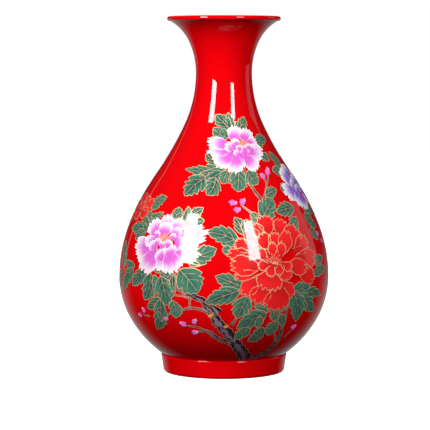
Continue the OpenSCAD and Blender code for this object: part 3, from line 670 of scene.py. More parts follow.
def wire_recipe():
    """Lays a flat wire along every path, with its face along the path's "up" direction."""
    r = Recipe("Gilt wire")
    width = r.input("Width", "Float")
    thick = r.input("Thickness", "Float")
    material = r.input("Material", "Material")
    up = r.carried("up", "FLOAT_VECTOR")
    broad = r.carried("broad", "FLOAT")
    paths = r.out("GeometryNodeMeshToCurve", {}, {0: r.start.outputs[0]})
    facing = r.out("GeometryNodeSetCurveNormal", {"mode": "FREE"}, {"Curve": paths, "Normal": up})
    section = r.out("GeometryNodeCurvePrimitiveQuadrilateral", {}, {"Width": thick, "Height": width})
    wire = r.out("GeometryNodeCurveToMesh", {}, {
        "Curve": facing, "Profile Curve": section, "Scale": broad, "Fill Caps": True})
    flat = r.out("GeometryNodeSetShadeSmooth", {}, {"Geometry": wire, "Shade Smooth": False})
    return r.finish(flat, material)


def bead_recipe():
    """Sets a small drop of enamel on every point, upright on the wall, each of its own size."""
    r = Recipe("Enamel drops")
    size = r.input("Size", "Float")
    seed = r.input("Seed", "Int", 7)
    material = r.input("Material", "Material")
    up = r.carried("up", "FLOAT_VECTOR")
    turn = r.out("FunctionNodeAlignRotationToVector", {"axis": "Z"}, {"Vector": up})
    drop = r.out("GeometryNodeMeshIcoSphere", {}, {"Radius": 1.0, "Subdivisions": 2})
    drop = r.out("GeometryNodeTransform", {}, {"Geometry": drop, "Scale": (1, 1, 0.35)})
    pick = r.node("FunctionNodeRandomValue", {"data_type": "FLOAT"}, {2: 0.6, 3: 1.35, 8: seed})
    scale = r.maths("MULTIPLY", pick.outputs[1], size)
    many = r.out("GeometryNodeInstanceOnPoints", {}, {
        "Points": r.start.outputs[0], "Instance": drop, "Rotation": turn, "Scale": scale})
    return r.finish(many, material)


def grow(name, mesh, recipe, **values):
    """Runs a recipe on a mesh and keeps the result as a plain piece."""
    seed = bpy.data.objects.new(name + "_seed", mesh)
    bpy.context.scene.collection.objects.link(seed)
    modifier = seed.modifiers.new("Recipe", "NODES")
    modifier.node_group = recipe.tree
    for key, value in values.items():
        modifier[recipe.ids[key]] = value
    seed.update_tag()
    result = bpy.data.meshes.new_from_object(seed.evaluated_get(bpy.context.evaluated_depsgraph_get()))
    bpy.data.objects.remove(seed)
    return piece(name, result, values["Material"])


# ---------------------------------------------------------------- pieces
def piece(name, mesh, material):
    """A finished piece that rides on the vase."""
    mesh.name = name
    made = bpy.data.objects.new(name, mesh)
    bpy.context.scene.collection.objects.link(made)
    mesh.materials.clear()
    mesh.materials.append(material)
    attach(made, "root")
    return made


def stands_for(made, slot, node):
    """Hides the CAD node that a piece takes the place of; the piece and its slot are not used."""
    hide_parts(node)


class Sheets:
    """Gathers thin closed motifs, each a grid of points laid on the wall, into one mesh."""

    def __init__(self):
        self.wall, self.bury = Wall(form()), drawing().bury
        self.points, self.faces, self.uvs, self.tones, self.count = [], [], [], [], 0

    def add(self, spot, motif, lift, tone):
        """Adds a motif as a closed slab on the wall. Its grid is in rows by columns."""
        x, y, u, v = motif.grid()
        rows, cols = x.shape
        top, _ = self.wall.lay(spot, x, y, lift)
        low, _ = self.wall.lay(spot, x, y, -self.bury)
        n = rows * cols
        grid = np.arange(n).reshape(rows, cols) + self.count
        a, b = grid[:-1, :-1].ravel(), grid[:-1, 1:].ravel()
        c, d = grid[1:, 1:].ravel(), grid[1:, :-1].ravel()
        faces = [np.stack([a, b, c, d], 1), np.stack([d, c, b, a], 1) + n]
        ring = np.concatenate([grid[0, :-1], grid[:-1, -1], grid[-1, :0:-1], grid[:0:-1, 0]])
        after = np.roll(ring, -1)
        faces.append(np.stack([ring, ring + n, after + n, after], 1))
        faces = np.concatenate(faces)
        if spot.turned is not None:
            faces = faces[:, ::-1]
        self.points += [top.reshape(-1, 3), low.reshape(-1, 3)]
        self.faces.append(faces)
        uv = np.stack([u.ravel(), v.ravel()], 1)
        self.uvs += [uv, uv]
        self.tones.append(np.full(2 * n, tone))
        self.count += 2 * n

    def mesh(self, name):
        points, faces = np.concatenate(self.points), np.concatenate(self.faces)
        mesh = bpy.data.meshes.new(name)
        mesh.from_pydata(points.tolist(), [], faces.tolist())
        uv = mesh.uv_layers.new(name="UVMap")
        corner = np.empty(len(mesh.loops), np.int32)
        mesh.loops.foreach_get("vertex_index", corner)
        uv.data.foreach_set("uv", np.concatenate(self.uvs)[corner].ravel().astype(np.float32))
        tone = mesh.attributes.new("tone", "FLOAT", "POINT")
        tone.data.foreach_set("value", np.concatenate(self.tones).astype(np.float32))
        bm = bmesh.new()
        bm.from_mesh(mesh)
        bmesh.ops.remove_doubles(bm, verts=bm.verts, dist=1e-7)
        bmesh.ops.recalc_face_normals(bm, faces=bm.faces)
        bm.to_mesh(mesh)
        bm.free()
        mesh.shade_smooth()
        mesh.set_sharp_from_angle(angle=math.radians(35))
        return mesh


class Paths:
    """Gathers wire paths laid on the wall into one mesh of edges."""

    def __init__(self):
        self.wall = Wall(form())
        self.points, self.ups, self.edges, self.broad, self.count = [], [], [], [], 0

    def add(self, spot, x, y, lift, closed=False, broad=1.0):
        at, up = self.wall.lay(spot, x, y, lift)
        n = len(at)
        self.points.append(at)
        self.ups.append(up)
        self.broad.append(np.broadcast_to(broad, n))
        k = np.arange(n - 1) + self.count
        self.edges.append(np.stack([k, k + 1], 1))
        if closed:
            self.edges.append(np.array([[self.count + n - 1, self.count]]))
        self.count += n

    def mesh(self, name):
        mesh = bpy.data.meshes.new(name)
        edges = np.concatenate(self.edges).tolist() if self.edges else []
        mesh.from_pydata(np.concatenate(self.points).tolist(), edges, [])
        up = mesh.attributes.new("up", "FLOAT_VECTOR", "POINT")
        up.data.foreach_set("vector", np.concatenate(self.ups).ravel().astype(np.float32))
        broad = mesh.attributes.new("broad", "FLOAT", "POINT")
        broad.data.foreach_set("value", np.concatenate(self.broad).astype(np.float32))
        return mesh


# ---------------------------------------------------------------- motifs
def grain():
    """Size of the facets in the drawing's millimetres."""
    return drawing().grain / MM


def axis_of(motif):
    """A motif's base, direction, length and half width."""
    x0, y0, x1, y1, w = motif
    span = math.hypot(x1 - x0, y1 - y0)
    return np.array([x0, y0]), np.array([x1 - x0, y1 - y0]) / span, span, w / 2


def place_on(motif, along, side):
    """Turns distances along and across a motif into drawing coordinates."""
    base, way, _, _ = axis_of(motif)
    return base[0] + along * way[0] - side * way[1], base[1] + along * way[1] + side * way[0]


class Leaf:
    """A lobed leaf with forward teeth, a bent midrib and side veins."""

    TIPS = (0.40, 0.62, 0.81, 0.93, 1.0)
    WIDEN, BEND, CUT, NOTCH = 1.12, 0.11, (0.34, 0.48), 0.015
    SIDE_VEINS_FROM = 4.8

    def __init__(self, motif):
        rng = random.Random(f"{motif}")
        self.motif = motif
        _, _, self.length, self.half = axis_of(motif)
        self.half *= self.WIDEN
        self.bend = rng.uniform(-self.BEND, self.BEND)
        self.tips = [np.array([min(tip + rng.uniform(-0.04, 0.03), 0.96) for tip in self.TIPS[:-1]] + [1.0])
                     for _ in (0, 1)]
        self.cut = rng.uniform(*self.CUT)
        even = np.linspace(0, 1, max(int(self.length / grain()), 12))
        both = np.concatenate(self.tips)
        self.s = np.unique(np.round(np.clip(np.concatenate([both, both + self.NOTCH, even]), 0, 1), 3))
        self.cols = max(int(2 * self.half / grain()), 6)

    def reach(self, side, s):
        """Half width at s: a smooth blade, cut back after each tooth and swelling towards the next."""
        tips = self.tips[side]
        k = np.clip(np.searchsorted(tips, s - 0.001), 0, len(tips) - 1)
        start = np.where(k > 0, tips[np.maximum(k - 1, 0)], 0)
        swell = np.clip((s - start) / (tips[k] - start), 0, 1) ** 0.8
        blade = 0.03 + 1.02 * np.sin(math.pi * np.clip(s, 0, 1) ** 0.80) ** 0.9
        return self.half * blade * (1 - np.where(k > 0, self.cut * (1 - swell), 0))

    def point(self, s, t):
        """Drawing coordinates at s along the leaf and t across it."""
        s, t = np.broadcast_arrays(s, t)
        w = np.where(t >= 0, self.reach(0, s), self.reach(1, s))
        bow = self.bend * self.length * 4 * s * (1 - s)
        forward = 0.30 * self.half * np.abs(t) ** 1.5 * np.sin(math.pi * s)
        return place_on(self.motif, s * self.length + forward, t * w + bow)

    def grid(self):
        t = np.linspace(-1, 1, self.cols + 1)
        s, t = np.meshgrid(self.s, t, indexing="ij")
        x, y = self.point(s, t)
        return x, y, t, s

    def rim(self):
        up = self.point(self.s, np.ones_like(self.s))
        down = self.point(self.s[::-1], -np.ones_like(self.s))
        return np.concatenate([up[0], down[0]]), np.concatenate([up[1], down[1]])

    def veins(self):
        """The midrib and, on a broad leaf, two pairs of side veins, each with its share of a vein's width."""
        s = np.linspace(0.0, 0.93, 24)
        yield self.point(s, np.zeros_like(s)), 1.0
        if self.half > self.SIDE_VEINS_FROM:
            for start in (0.20, 0.44):
                for side in (-1, 1):
                    k = np.linspace(0, 1, 12)
                    yield self.point(start + 0.20 * k, side * 0.66 * k), 0.7


class Petal:
    """A broad petal that fans out to a scalloped rim."""

    def __init__(self, motif, frill):
        rng = random.Random(f"{motif}")
        self.motif, self.frill = motif, frill
        _, _, self.length, self.half = axis_of(motif)
        self.lobes = rng.choice((2.5, 3.5, 4.5))
        self.phase = rng.uniform(0, math.pi)
        self.lean = rng.uniform(-0.10, 0.10)
        self.rows = max(int(self.length / grain()), 10)
        self.cols = max(int(2.2 * self.half / grain()), 14)

    def point(self, s, t):
        s, t = np.broadcast_arrays(s, t)
        crown = 0.66 + 0.36 * np.sqrt(np.clip(1 - t * t, 0, 1))
        scallop = 1 + self.frill * (np.abs(np.sin(self.lobes * t * math.pi / 2 + self.phase)) - 0.55)
        scallop += 0.45 * self.frill * np.sin(19 * t + 3 * self.phase)
        along = self.length * s * (1 + (crown * scallop - 1) * s ** 0.7)
        side = t * self.half * (0.16 + 0.86 * np.sin(np.clip(s, 0, 1) * 1.75) ** 0.9)
        side = side * (1 + 0.5 * self.frill * np.sin(11 * s + self.phase) * s)
        side = side + self.lean * self.length * s * s
        return place_on(self.motif, along, side)

    def grid(self):
        s = np.linspace(0, 1, self.rows + 1)
        t = np.linspace(-1, 1, self.cols + 1)
        s, t = np.meshgrid(s, t, indexing="ij")
        x, y = self.point(s, t)
        return x, y, t, s

    def rim(self):
        side = np.linspace(0.12, 1, 14)
        top = np.linspace(-1, 1, self.cols * 2)
        parts = [self.point(side, -np.ones_like(side)), self.point(np.ones_like(top), top),
                 self.point(side[::-1], np.ones_like(side))]
        return np.concatenate([p[0] for p in parts]), np.concatenate([p[1] for p in parts])


class Strip:
    """Bark along a row of points, with a broken edge."""

    ROUGH = 0.22

    def __init__(self, points):
        rng = random.Random(f"{points}")
        p = np.array(points, float)
        gap = np.hypot(*np.diff(p[:, :2], axis=0).T)
        d = np.concatenate([[0], np.cumsum(gap)])
        at = np.linspace(0, d[-1], max(int(d[-1] / grain()), 4) + 1)
        self.s = at / d[-1]
        line = [np.interp(at, d, p[:, k]) for k in range(3)]
        for _ in range(3):
            line = [np.concatenate([[v[0]], (v[:-2] + 2 * v[1:-1] + v[2:]) / 4, [v[-1]]]) for v in line]
        self.x, self.y, self.w = line
        way = np.stack([np.gradient(self.x), np.gradient(self.y)])
        self.way = way / np.hypot(*way)
        self.rough = []
        for _ in (0, 1):
            wave = np.sin(at * rng.uniform(1.1, 1.6) + rng.uniform(0, 6))
            self.rough.append(1 + self.ROUGH * (wave * np.sin(at * 0.53 + rng.uniform(0, 6))))
        self.cols = max(int(self.w.max() / grain()), 2)

    def point(self, t):
        x, y, w, left, right, way_x, way_y = (
            row[:, None] for row in (self.x, self.y, self.w, *self.rough, *self.way))
        half = np.where(t >= 0, left, right) * w / 2
        return x - t * half * way_y, y + t * half * way_x

    def grid(self):
        t = np.linspace(-1, 1, self.cols + 1)[None, :]
        x, y = self.point(np.broadcast_to(t, (len(self.s), self.cols + 1)))
        u = np.broadcast_to(t, x.shape)
        v = np.broadcast_to(self.s[:, None], x.shape)
        return x, y, u, v

    def edge(self, side):
        x, y = self.point(np.full((len(self.s), 1), float(side)))
        return x[:, 0], y[:, 0]


class Bud:
    """A drop-shaped bud, or a round patch."""

    SQUASH = 0.72

    def __init__(self, bud, ragged, drop=0.25):
        self.bud, self.ragged, self.drop = bud, ragged, drop

    def grid(self):
        x0, y0, r, turn = self.bud
        a = math.radians(turn)
        k, t = np.meshgrid(np.linspace(0, 1, 5), np.linspace(0, 2 * math.pi, 37), indexing="ij")
        reach = r * (1 + self.ragged * (np.sin(5 * t) + 0.6 * np.sin(8 * t + 1)))
        x = k * reach * np.cos(t)
        y = k * reach * np.sin(t) * self.SQUASH * (1 - self.drop * np.cos(t))
        return (x0 + x * math.cos(a) - y * math.sin(a), y0 + x * math.sin(a) + y * math.cos(a),
                np.cos(t) * k, (np.cos(t) * k + 1) / 2)


# ---------------------------------------------------------------- builders for groups of motifs
PINK_FRILL, RED_FRILL = 0.15, 0.13
WIRE_LEVEL, WIRE_THICK = 0.7, 0.5  # a wire's height over its own motif and its thickness, in layers
FRILL_LEVEL, RAY_LEVEL, KNOT_LEVEL, BUD_LEVEL = 20, 36, 12, 45


def stacked(base, motifs, first=0):
    """Motifs with their heights over the red coat, each a layer above the one before."""
    return [(motif, base + (first + i) * drawing().layer) for i, motif in enumerate(motifs)]


def cells(name, motifs, material, slot, node):
    """One piece of enamel from motifs, given as (spot, motif, height)."""
    sheets, rng = Sheets(), random.Random(name)
    for spot, motif, lift in motifs:
        sheets.add(spot, motif, lift, rng.random())
    stands_for(piece(name, sheets.mesh(name), material), slot, node)


def patches(name, jobs, material, slot, node, level):
    """Buds and knots. Jobs are (spot, buds)."""
    cells(name, [(spot, Bud(bud, 0.13), lift) for spot, buds in jobs
                 for bud, lift in stacked(drawing().bark_lift, buds, level)], material, slot, node)


def outline_leaves(paths, spot, leaves):
    d = drawing()
    for motif, lift in stacked(d.leaf_lift, leaves, WIRE_LEVEL):
        leaf = Leaf(motif)
        paths.add(spot, *leaf.rim(), lift, closed=True)
        for (x, y), broad in leaf.veins():
            paths.add(spot, x, y, lift, broad=broad * d.vein_w / d.wire_w)


def outline_petals(paths, spot, petals):
    for motif, lift in stacked(drawing().petal_lift, petals, WIRE_LEVEL):
        paths.add(spot, *Petal(motif, RED_FRILL).rim(), lift)


def outline_rays(paths, spot, hearts):
    """Gilt filaments that fan upwards from below the heart of a bloom."""
    d, k = drawing(), np.linspace(0.12, 1, 7)
    for x0, y0, r, turn in hearts:
        for n in range(11):
            t = math.radians(turn - 75 + 15 * n)
            reach = r * (1.25 + 0.25 * math.sin(2.3 * n))
            x = x0 + k * reach * np.sin(t) * (1 + 0.15 * k)
            y = y0 - 0.7 * r + k * reach * np.cos(t)
            paths.add(spot, x, y, d.petal_lift + RAY_LEVEL * d.layer, broad=0.75)


def outline_strips(paths, spot, strips):
    for points, lift in stacked(drawing().bark_lift, strips, WIRE_LEVEL):
        strip = Strip(points)
        for side in (-1, 1):
            paths.add(spot, *strip.edge(side), lift, broad=0.8)


def stamens(dots, spot, heart, rays, dots_each, rng, lift):
    """Dots along rays that fan out of the heart of a bloom."""
    x0, y0, r, turn = heart
    for k in range(rays):
        t = math.radians(turn) + 2 * math.pi * (k + rng.uniform(-0.3, 0.3)) / rays
        along = np.linspace(0.35, 1, dots_each) * r * rng.uniform(0.55, 1.15)
        dots.add(spot, x0 + along * math.cos(t), y0 + 0.8 * along * math.sin(t), lift)


def heart_of(name, jobs, ground, slot, node, rays, dots_each, size, level):
    """A bloom's heart: a patch of enamel with gilt drops over it. Jobs are (spot, hearts)."""
    d, rng, sheets, dots = drawing(), random.Random(name), Sheets(), Paths()
    for spot, hearts in jobs:
        for heart in hearts:
            sheets.add(spot, Bud(heart, 0.14, drop=0.0), d.petal_lift + level * d.layer, rng.random())
            stamens(dots, spot, heart, rays, dots_each, rng, d.petal_lift + (level + 1) * d.layer)
    dots.edges = []
    drops = grow(name + "_drops", dots.mesh(name), Kit.beads, Size=size, Material=Kit.gilt)
    base = sheets.mesh(name)
    bm = bmesh.new()
    bm.from_mesh(base)
    first = len(bm.faces)
    bm.from_mesh(drops.data)
    bm.faces.ensure_lookup_table()
    for face in bm.faces[first:]:
        face.material_index = 1
    bm.to_mesh(base)
    bm.free()
    bpy.data.objects.remove(drops)
    made = piece(name, base, ground)
    made.data.materials.append(Kit.gilt)
    stands_for(made, slot, node)


class Kit:
    """Recipes and finishes that several pieces share, made once by the first operator."""

    @classmethod
    def fill(cls):
        cls.turned, cls.wire, cls.beads = turned_recipe(), wire_recipe(), bead_recipe()
        cls.red, cls.lip = red_glaze("Red enamel"), red_glaze("Red lip")
        cls.lining = plain_glaze("Turquoise lining", "turquoise")
        cls.gilt = gilt_metal()
        cls.leaf, cls.crimson = leaf_glaze(), crimson_glaze()
        cls.pink = petal_glaze("Pink petals", "magenta", "blush")
        cls.violet = petal_glaze("Violet petals", "violet", "frost")
        cls.bark, cls.knot = bark_glaze(), plain_glaze("Bark knots", "knot")
        cls.bud, cls.salmon = bud_glaze(), plain_glaze("Salmon hearts", "salmon")
        cls.copper = raw_metal("Hammered copper", "copper", 0.2)
        cls.brass = raw_metal("Brazed brass", "brass", 4)


def section_mesh(points):
    mesh = bpy.data.meshes.new("section")
    mesh.from_pydata([(r, 0, z) for r, z in points], [(k, k + 1) for k in range(len(points) - 1)], [])
    return mesh


def turned(name, points, material, slot, node):
    """A closed coat, turned from its section, which runs so that its outside is on its right."""
    points = [tuple(p) for p in points] + [tuple(points[0])]
    made = grow(name, section_mesh(points), Kit.turned, Segments=form().turns, Material=material)
    bm = bmesh.new()
    bm.from_mesh(made.data)
    bmesh.ops.dissolve_degenerate(bm, edges=bm.edges, dist=1e-7)
    if bm.calc_volume(signed=True) < 0:
        bmesh.ops.reverse_faces(bm, faces=bm.faces)
    bm.to_mesh(made.data)
    bm.free()
    made.data.shade_smooth()
    made.data.set_sharp_from_angle(angle=math.radians(40))
    stands_for(made, slot, node)


class VASE_OT_kit(bpy.types.Operator):
    """Makes the shared recipes and finishes"""

    bl_idname, bl_label = "vase.kit", "Recipes and finishes"

    def execute(self, context):
        Kit.fill()
        return {"FINISHED"}


class VASE_OT_metal(bpy.types.Operator):
    """Gives the copper shells, brazing, lip wire and foot their metals"""

    bl_idname, bl_label = "vase.metal", "Metal body"

    def execute(self, context):
        for names, metal in (
                (("neck_shell", "upper_body_shell", "lower_body_shell", "foot_ring", "base_plate"), Kit.copper),
                (("shoulder_seam", "belly_seam", "lip_wire"), Kit.brass)):
            for name in names:
                for holder in frame["nodes"][name].material_slots:
                    holder.material = metal
        return {"FINISHED"}


class VASE_OT_coats(bpy.types.Operator):
    """Turns the red coat, the lip, the foot, the lining and the enamel under the base"""

    bl_idname, bl_label = "vase.coats", "Enamel coats"

    def execute(self, context):
        f = form()
        wall = Wall(f)
        outer = wall.at_depth(0)
        tuck = (-0.0003, -0.0004)  # closes the red coat's lower edge over the foot
        outer = np.concatenate([[outer[0] + tuck], outer])
        inner = wall.at_depth(f.ground_t)
        turned("red_coat", np.concatenate([outer, inner[::-1]]), Kit.red, "red_enamel", "ground_enamel")
        a = np.linspace(0, 2 * math.pi, 33)[:-1]
        roll = wall.lip_c + f.lip_r * np.stack([np.cos(a), np.sin(a)], 1)
        turned("lip_coat", roll, Kit.lip, "red_enamel", "lip_enamel")
        self.foot(f)
        metal = f.ground_t + f.copper_t
        under, over = wall.at_depth(metal), wall.at_depth(metal + f.lining_t)
        under, over = under[under[:, 1] >= f.foot_h], over[over[:, 1] >= f.foot_h + f.lining_t]
        floor = [(0, f.foot_h), (under[0][0], f.foot_h)]
        top = [(0, f.foot_h + f.lining_t)]
        turned("lining_coat", np.concatenate([floor, under, over[::-1], top]), Kit.lining, "turquoise_enamel",
               "lining_enamel")
        low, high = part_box("base_enamel")
        r, bevel = high.x, 0.0003
        disc = [(0, high.z), (r, high.z), (r, low.z + bevel), (r - bevel, low.z), (0, low.z)]
        turned("base_coat", disc, Kit.lining, "turquoise_enamel", "base_enamel")
        return {"FINISHED"}

    def foot(self, f):
        low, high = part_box("foot_enamel")
        edge, rise, inset, swell, seat, bands = 0.0011, 0.0003, 0.0002, 0.0001, 0.0012, 8
        rim = f.foot_d / 2 + (f.foot_top_d - f.foot_d) / 2 * f.bare_rim / f.foot_h
        out = [(rim - inset, low.z), (rim + swell, low.z + rise)]
        a = np.linspace(0, math.pi / 2, 9)
        bead = [(high.x - edge + edge * math.cos(b), high.z - edge + edge * math.sin(b)) for b in a]
        inside = [(f.root_d / 2 - f.ground_t, high.z), (f.root_d / 2 - seat, f.foot_h),
                  (f.foot_top_d / 2 - f.ground_t, f.foot_h), (rim - f.ground_t, low.z)]
        belt = [(rim + (high.x - rim) * k / bands, low.z + rise + (high.z - edge - low.z) * k / bands)
                for k in range(1, bands)]
        turned("foot_coat", out + belt + bead + inside, Kit.red, "red_enamel", "foot_enamel")


class VASE_OT_leaves(bpy.types.Operator):
    """Lays the jade leaves of every cluster"""

    bl_idname, bl_label = "vase.leaves", "Leaves"

    def execute(self, context):
        for name, spot, leaves, node in (
                ("upper_leaf_cells", TOP, TOP_LEAVES, "top_leaves"),
                ("left_leaf_cells", LEFT, LEFT_LEAVES, "left_leaves"),
                ("right_leaf_cells", RIGHT, RIGHT_LEAVES, "right_leaves"),
                ("side_leaf_cells", SIDE, SIDE_LEAVES, "side_leaves"),
                ("edge_leaf_cells", EDGE, EDGE_LEAVES, "edge_leaves"),
                ("back_upper_leaf_cells", BACK_TOP, TOP_LEAVES[::2], "back_pink_leaves"),
                ("back_lower_leaf_cells", BACK_RED, RIGHT_LEAVES[::2], "back_red_leaves")):
            cells(name, [(spot, Leaf(leaf), lift) for leaf, lift in stacked(drawing().leaf_lift, leaves)],
                  Kit.leaf, "jade_enamel", node)
        return {"FINISHED"}


class VASE_OT_petals(bpy.types.Operator):
    """Lays the petals of the pink, red and violet peonies"""

    bl_idname, bl_label = "vase.petals", "Petals"

    def execute(self, context):
        base = drawing().petal_lift
        pink = Kit.pink, "pink_enamel"
        crimson, violet = (Kit.crimson, "crimson_enamel"), (Kit.violet, "violet_enamel")
        for name, spot, petals, frills, node, look, frill in (
                ("upper_pink_bloom", TOP, TOP_PETALS, TOP_FRILLS, "top_peony_petals", pink, PINK_FRILL),
                ("left_pink_bloom", LEFT, LEFT_PETALS, LEFT_FRILLS, "left_peony_petals", pink, PINK_FRILL),
                ("red_bloom", RIGHT, RED_PETALS, [], "red_peony_petals", crimson, RED_FRILL),
                ("violet_bloom", SIDE, VIOLET_PETALS, [], "violet_peony_petals", violet, PINK_FRILL),
                ("edge_bloom", EDGE, EDGE_PETALS, [], "edge_peony_petals", crimson, RED_FRILL),
                ("back_pink_bloom", BACK_TOP, TOP_PETALS, TOP_FRILLS, "back_pink_petals", pink, PINK_FRILL),
                ("back_red_bloom", BACK_RED, RED_PETALS, [], "back_red_petals", crimson, RED_FRILL)):
            layers = stacked(base, petals) + stacked(base, frills, FRILL_LEVEL)
            cells(name, [(spot, Petal(petal, frill), lift) for petal, lift in layers], *look, node)
        return {"FINISHED"}


class VASE_OT_wires(bpy.types.Operator):
    """Lays the gilt wires round leaves, red petals, trunk and twigs"""

    bl_idname, bl_label = "vase.wires", "Gilt wires"

    def execute(self, context):
        d = drawing()
        for name, node, jobs in (
                ("upper_gilt", "top_wires", [
                    (outline_leaves, TOP, TOP_LEAVES), (outline_strips, TOP, TOP_TWIGS)]),
                ("left_gilt", "left_wires", [
                    (outline_leaves, LEFT, LEFT_LEAVES), (outline_strips, LEFT, LEFT_TWIGS + LEFT_TRUNK)]),
                ("red_bloom_gilt", "red_peony_wires", [
                    (outline_petals, RIGHT, RED_PETALS), (outline_rays, RIGHT, RED_HEART)]),
                ("right_gilt", "right_wires", [
                    (outline_leaves, RIGHT, RIGHT_LEAVES), (outline_strips, RIGHT, RIGHT_TWIGS + RIGHT_TRUNK)]),
                ("side_gilt", "side_wires", [(outline_leaves, SIDE, SIDE_LEAVES)]),
                ("edge_gilt", "edge_wires", [
                    (outline_leaves, EDGE, EDGE_LEAVES), (outline_petals, EDGE, EDGE_PETALS)]),
                ("back_upper_gilt", "back_pink_wires", [(outline_leaves, BACK_TOP, TOP_LEAVES[::2])]),
                ("back_bloom_gilt", "back_bloom_wires", [
                    (outline_petals, BACK_RED, RED_PETALS), (outline_rays, BACK_RED, RED_HEART)]),
                ("back_lower_gilt", "back_red_wires", [
                    (outline_leaves, BACK_RED, RIGHT_LEAVES[::2]), (outline_strips, BACK_RED, RIGHT_TRUNK)])):
            paths = Paths()
            for outline, spot, motifs in jobs:
                outline(paths, spot, motifs)
            stands_for(grow(name, paths.mesh(name), Kit.wire, Width=d.wire_w, Thickness=d.layer * WIRE_THICK,
                            Material=Kit.gilt), "gilt_wire", node)
        return {"FINISHED"}


class VASE_OT_bark(bpy.types.Operator):
    """Lays the trunk, the twigs and the knots"""

    bl_idname, bl_label = "vase.bark", "Bark"

    def execute(self, context):
        for name, jobs, node in (
                ("trunk", [(LEFT, LEFT_TRUNK), (RIGHT, RIGHT_TRUNK)], "trunk_bark"),
                ("twigs", [(TOP, TOP_TWIGS), (LEFT, LEFT_TWIGS), (RIGHT, RIGHT_TWIGS)], "twig_bark"),
                ("back_trunk", [(BACK_RED, RIGHT_TRUNK)], "back_bark")):
            cells(name, [(spot, Strip(points), lift) for spot, strips in jobs
                         for points, lift in stacked(drawing().bark_lift, strips)], Kit.bark, "bark_enamel", node)
        patches("trunk_knots", [(RIGHT, RIGHT_KNOTS)], Kit.knot, "knot_enamel", "bark_knots", KNOT_LEVEL)
        return {"FINISHED"}


class VASE_OT_buds(bpy.types.Operator):
    """Lays the buds and the hearts of the blooms"""

    bl_idname, bl_label = "vase.buds", "Buds and hearts"

    def execute(self, context):
        patches("buds", [(TOP, TOP_BUDS), (LEFT, LEFT_BUDS), (RIGHT, RIGHT_BUDS), (SIDE, SIDE_BUDS)],
                Kit.bud, "pink_enamel", "flower_buds", BUD_LEVEL)
        patches("back_bud_cells", [(BACK_TOP, TOP_BUDS), (BACK_RED, RIGHT_BUDS + RIGHT_KNOTS)],
                Kit.bud, "pink_enamel", "back_buds", BUD_LEVEL)
        heart_of("upper_heart", [(TOP, TOP_HEART)], Kit.salmon, "salmon_enamel", "top_peony_heart",
                 rays=12, dots_each=3, size=0.0004, level=17)
        heart_of("left_heart", [(LEFT, LEFT_HEART)], Kit.salmon, "salmon_enamel", "left_peony_heart",
                 rays=16, dots_each=3, size=0.0005, level=18)
        heart_of("red_heart", [(RIGHT, RED_HEART)], Kit.crimson, "gilt_wire", "red_peony_stamens",
                 rays=11, dots_each=2, size=0.0007, level=34)
        heart_of("back_heart_cells", [(BACK_TOP, TOP_HEART), (BACK_RED, RED_HEART)], Kit.salmon,
                 "salmon_enamel", "back_hearts", rays=16, dots_each=4, size=0.0005, level=34)
        return {"FINISHED"}


# ---------------------------------------------------------------- stage
def light_panel(name, bearing, up, away, width, tall, strength, lean=0):
    """An upright soft panel at this bearing and height, facing the vase's axis and leaning sideways
    by lean degrees. Strength is its brightness."""
    a = math.radians(bearing)
    at = Vector((away * math.sin(a), -away * math.cos(a), up))
    data = bpy.data.lights.new(name, "AREA")
    data.shape, data.size, data.size_y = "RECTANGLE", width, tall
    data.energy = strength * math.pi * width * tall
    lamp = bpy.data.objects.new(name, data)
    lamp.location = at
    facing = Vector((-at.x, -at.y, 0)).to_track_quat("-Z", "Y")
    lamp.rotation_euler = (facing @ Quaternion((0, 0, 1), math.radians(lean))).to_euler()
    lamp.visible_camera = False
    bpy.context.scene.collection.objects.link(lamp)
    return lamp


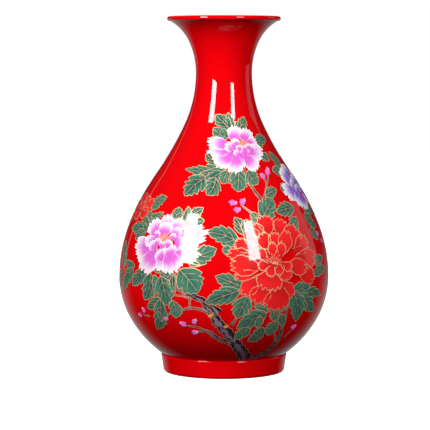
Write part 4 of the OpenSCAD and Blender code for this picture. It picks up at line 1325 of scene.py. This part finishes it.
class VASE_OT_stage(bpy.types.Operator):
    """Sets the table, the soft lights and the camera"""

    bl_idname, bl_label = "vase.stage", "Table, lights and camera"

    def execute(self, context):
        scene, s = context.scene, context.scene.vase_studio
        scene.view_settings.view_transform = "Standard"
        self.table()
        self.surroundings(scene)
        light_panel("Left softbox", -42.5, 0.98, 1.5, 0.46, 1.13, s.key, lean=12)
        light_panel("Right softbox", 33.5, 0.96, 1.5, 0.34, 0.97, s.fill)
        light_panel("Right veil", 111, 0.52, 1.5, 0.65, 0.82, s.veil)
        light_panel("Left strip", -137, 0.6, 1.5, 0.08, 1.2, s.rim)
        light_panel("Back fill", 180, 0.9, 1.6, 1.0, 1.0, s.back).visible_glossy = False
        camera = bpy.data.objects.new("Camera", bpy.data.cameras.new("Camera"))
        camera.data.lens, camera.data.sensor_width = s.lens, 36
        camera.location = (s.camera_side, -s.camera_away, s.camera_up)
        camera.rotation_euler = (math.pi / 2 - s.camera_dip, 0, 0)
        scene.collection.objects.link(camera)
        scene.camera = camera
        return {"FINISHED"}

    def table(self):
        mesh, n = bpy.data.meshes.new("table"), 48
        points = [(0, 0, 0)]
        for r in (0.35, 1.2, 4.0):
            points += [(r * math.cos(2 * math.pi * k / n), r * math.sin(2 * math.pi * k / n), 0) for k in range(n)]
        faces = [(0, 1 + k, 1 + (k + 1) % n) for k in range(n)]
        for a in (1, 1 + n):
            b = a + n
            faces += [(a + k, b + k, b + (k + 1) % n, a + (k + 1) % n) for k in range(n)]
        mesh.from_pydata(points, [], faces)
        f = Finish("Pale table")
        grain = f.noise(18, 3)
        base = f.mix(grain * 0.3, (0.55, 0.55, 0.55), (0.50, 0.50, 0.50))
        away = f.step(f.far(), 0.10, 0.45)
        glow = f.mix(away, (0.90, 0.90, 0.90), (1.0, 1.0, 1.0))
        mesh.materials.append(f.glaze(base, rough=0.6 + 0.1 * grain, coat=0.0, glow=glow))
        table = bpy.data.objects.new("Table", mesh)
        bpy.context.scene.collection.objects.link(table)
        table.visible_glossy = table.visible_diffuse = False
        table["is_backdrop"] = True

    def surroundings(self, scene):
        """White to the camera. To the vase, a dim sky and the glow of the table behind it."""
        world = bpy.data.worlds.new("Studio")
        world.use_nodes = True
        g = Graph(world.node_tree)
        way = g.node("ShaderNodeTexCoord").outputs["Generated"]
        part = g.node("ShaderNodeSeparateXYZ", {}, {0: way})
        sky, behind, low = (
            g.node("ShaderNodeMapRange", {"interpolation_type": "SMOOTHSTEP"}, {
                0: part.outputs[axis], 1: start, 2: end, 3: at_start, 4: at_end}).outputs[0]
            for axis, start, end, at_start, at_end in (
                (2, -0.25, 0.6, 0.002, 0.03), (1, 0.50, 1.0, 0.0, 1.0),
                (2, 0.08, -0.25, 0.0, scene.vase_studio.bounce)))
        light = g.maths("ADD", g.maths("MULTIPLY", behind, low), sky)
        seen, unseen = (
            g.node("ShaderNodeBackground", {}, {0: (1, 1, 1), 1: strength}).outputs[0] for strength in (1.0, light))
        to_camera = g.node("ShaderNodeLightPath").outputs["Is Camera Ray"]
        mix = g.node("ShaderNodeMixShader", {}, {0: to_camera, 1: unseen, 2: seen}).outputs[0]
        g.node("ShaderNodeOutputWorld", {}, {0: mix})
        scene.world = world


# ---------------------------------------------------------------- add-on
STEPS = ("kit", "metal", "coats", "bark", "leaves", "petals", "wires", "buds", "stage")


class VASE_PT_panel(bpy.types.Panel):
    """Sizes, colours and steps of the vase"""

    bl_label, bl_idname = "Cloisonne vase", "VASE_PT_panel"
    bl_space_type, bl_region_type, bl_category = "VIEW_3D", "UI", "Vase"

    def draw(self, context):
        for step in STEPS:
            self.layout.operator("vase." + step)
        for group in GROUPS:
            box = self.layout.box()
            box.label(text=group.split("_")[1].title())
            held = getattr(context.scene, group)
            for key in held.__annotations__:
                box.prop(held, key)


GROUPS = {
    "vase_form": VaseForm, "vase_drawing": VaseDrawing, "vase_colours": VaseColours, "vase_studio": VaseStudio}
CLASSES = (
    *GROUPS.values(), VASE_OT_kit, VASE_OT_metal, VASE_OT_coats, VASE_OT_bark, VASE_OT_leaves, VASE_OT_petals,
    VASE_OT_wires, VASE_OT_buds, VASE_OT_stage, VASE_PT_panel)


def register():
    for kind in CLASSES:
        bpy.utils.register_class(kind)
    for name, kind in GROUPS.items():
        setattr(bpy.types.Scene, name, PointerProperty(type=kind))


def unregister():
    for name in GROUPS:
        delattr(bpy.types.Scene, name)
    for kind in reversed(CLASSES):
        bpy.utils.unregister_class(kind)


def main():
    register()
    for step in STEPS:
        getattr(bpy.ops.vase, step)()
    plain = [[[float(c) for c in corner] for corner in box] for box in (CAD_BOX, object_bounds())]


if __name__ == "__main__":
    main()
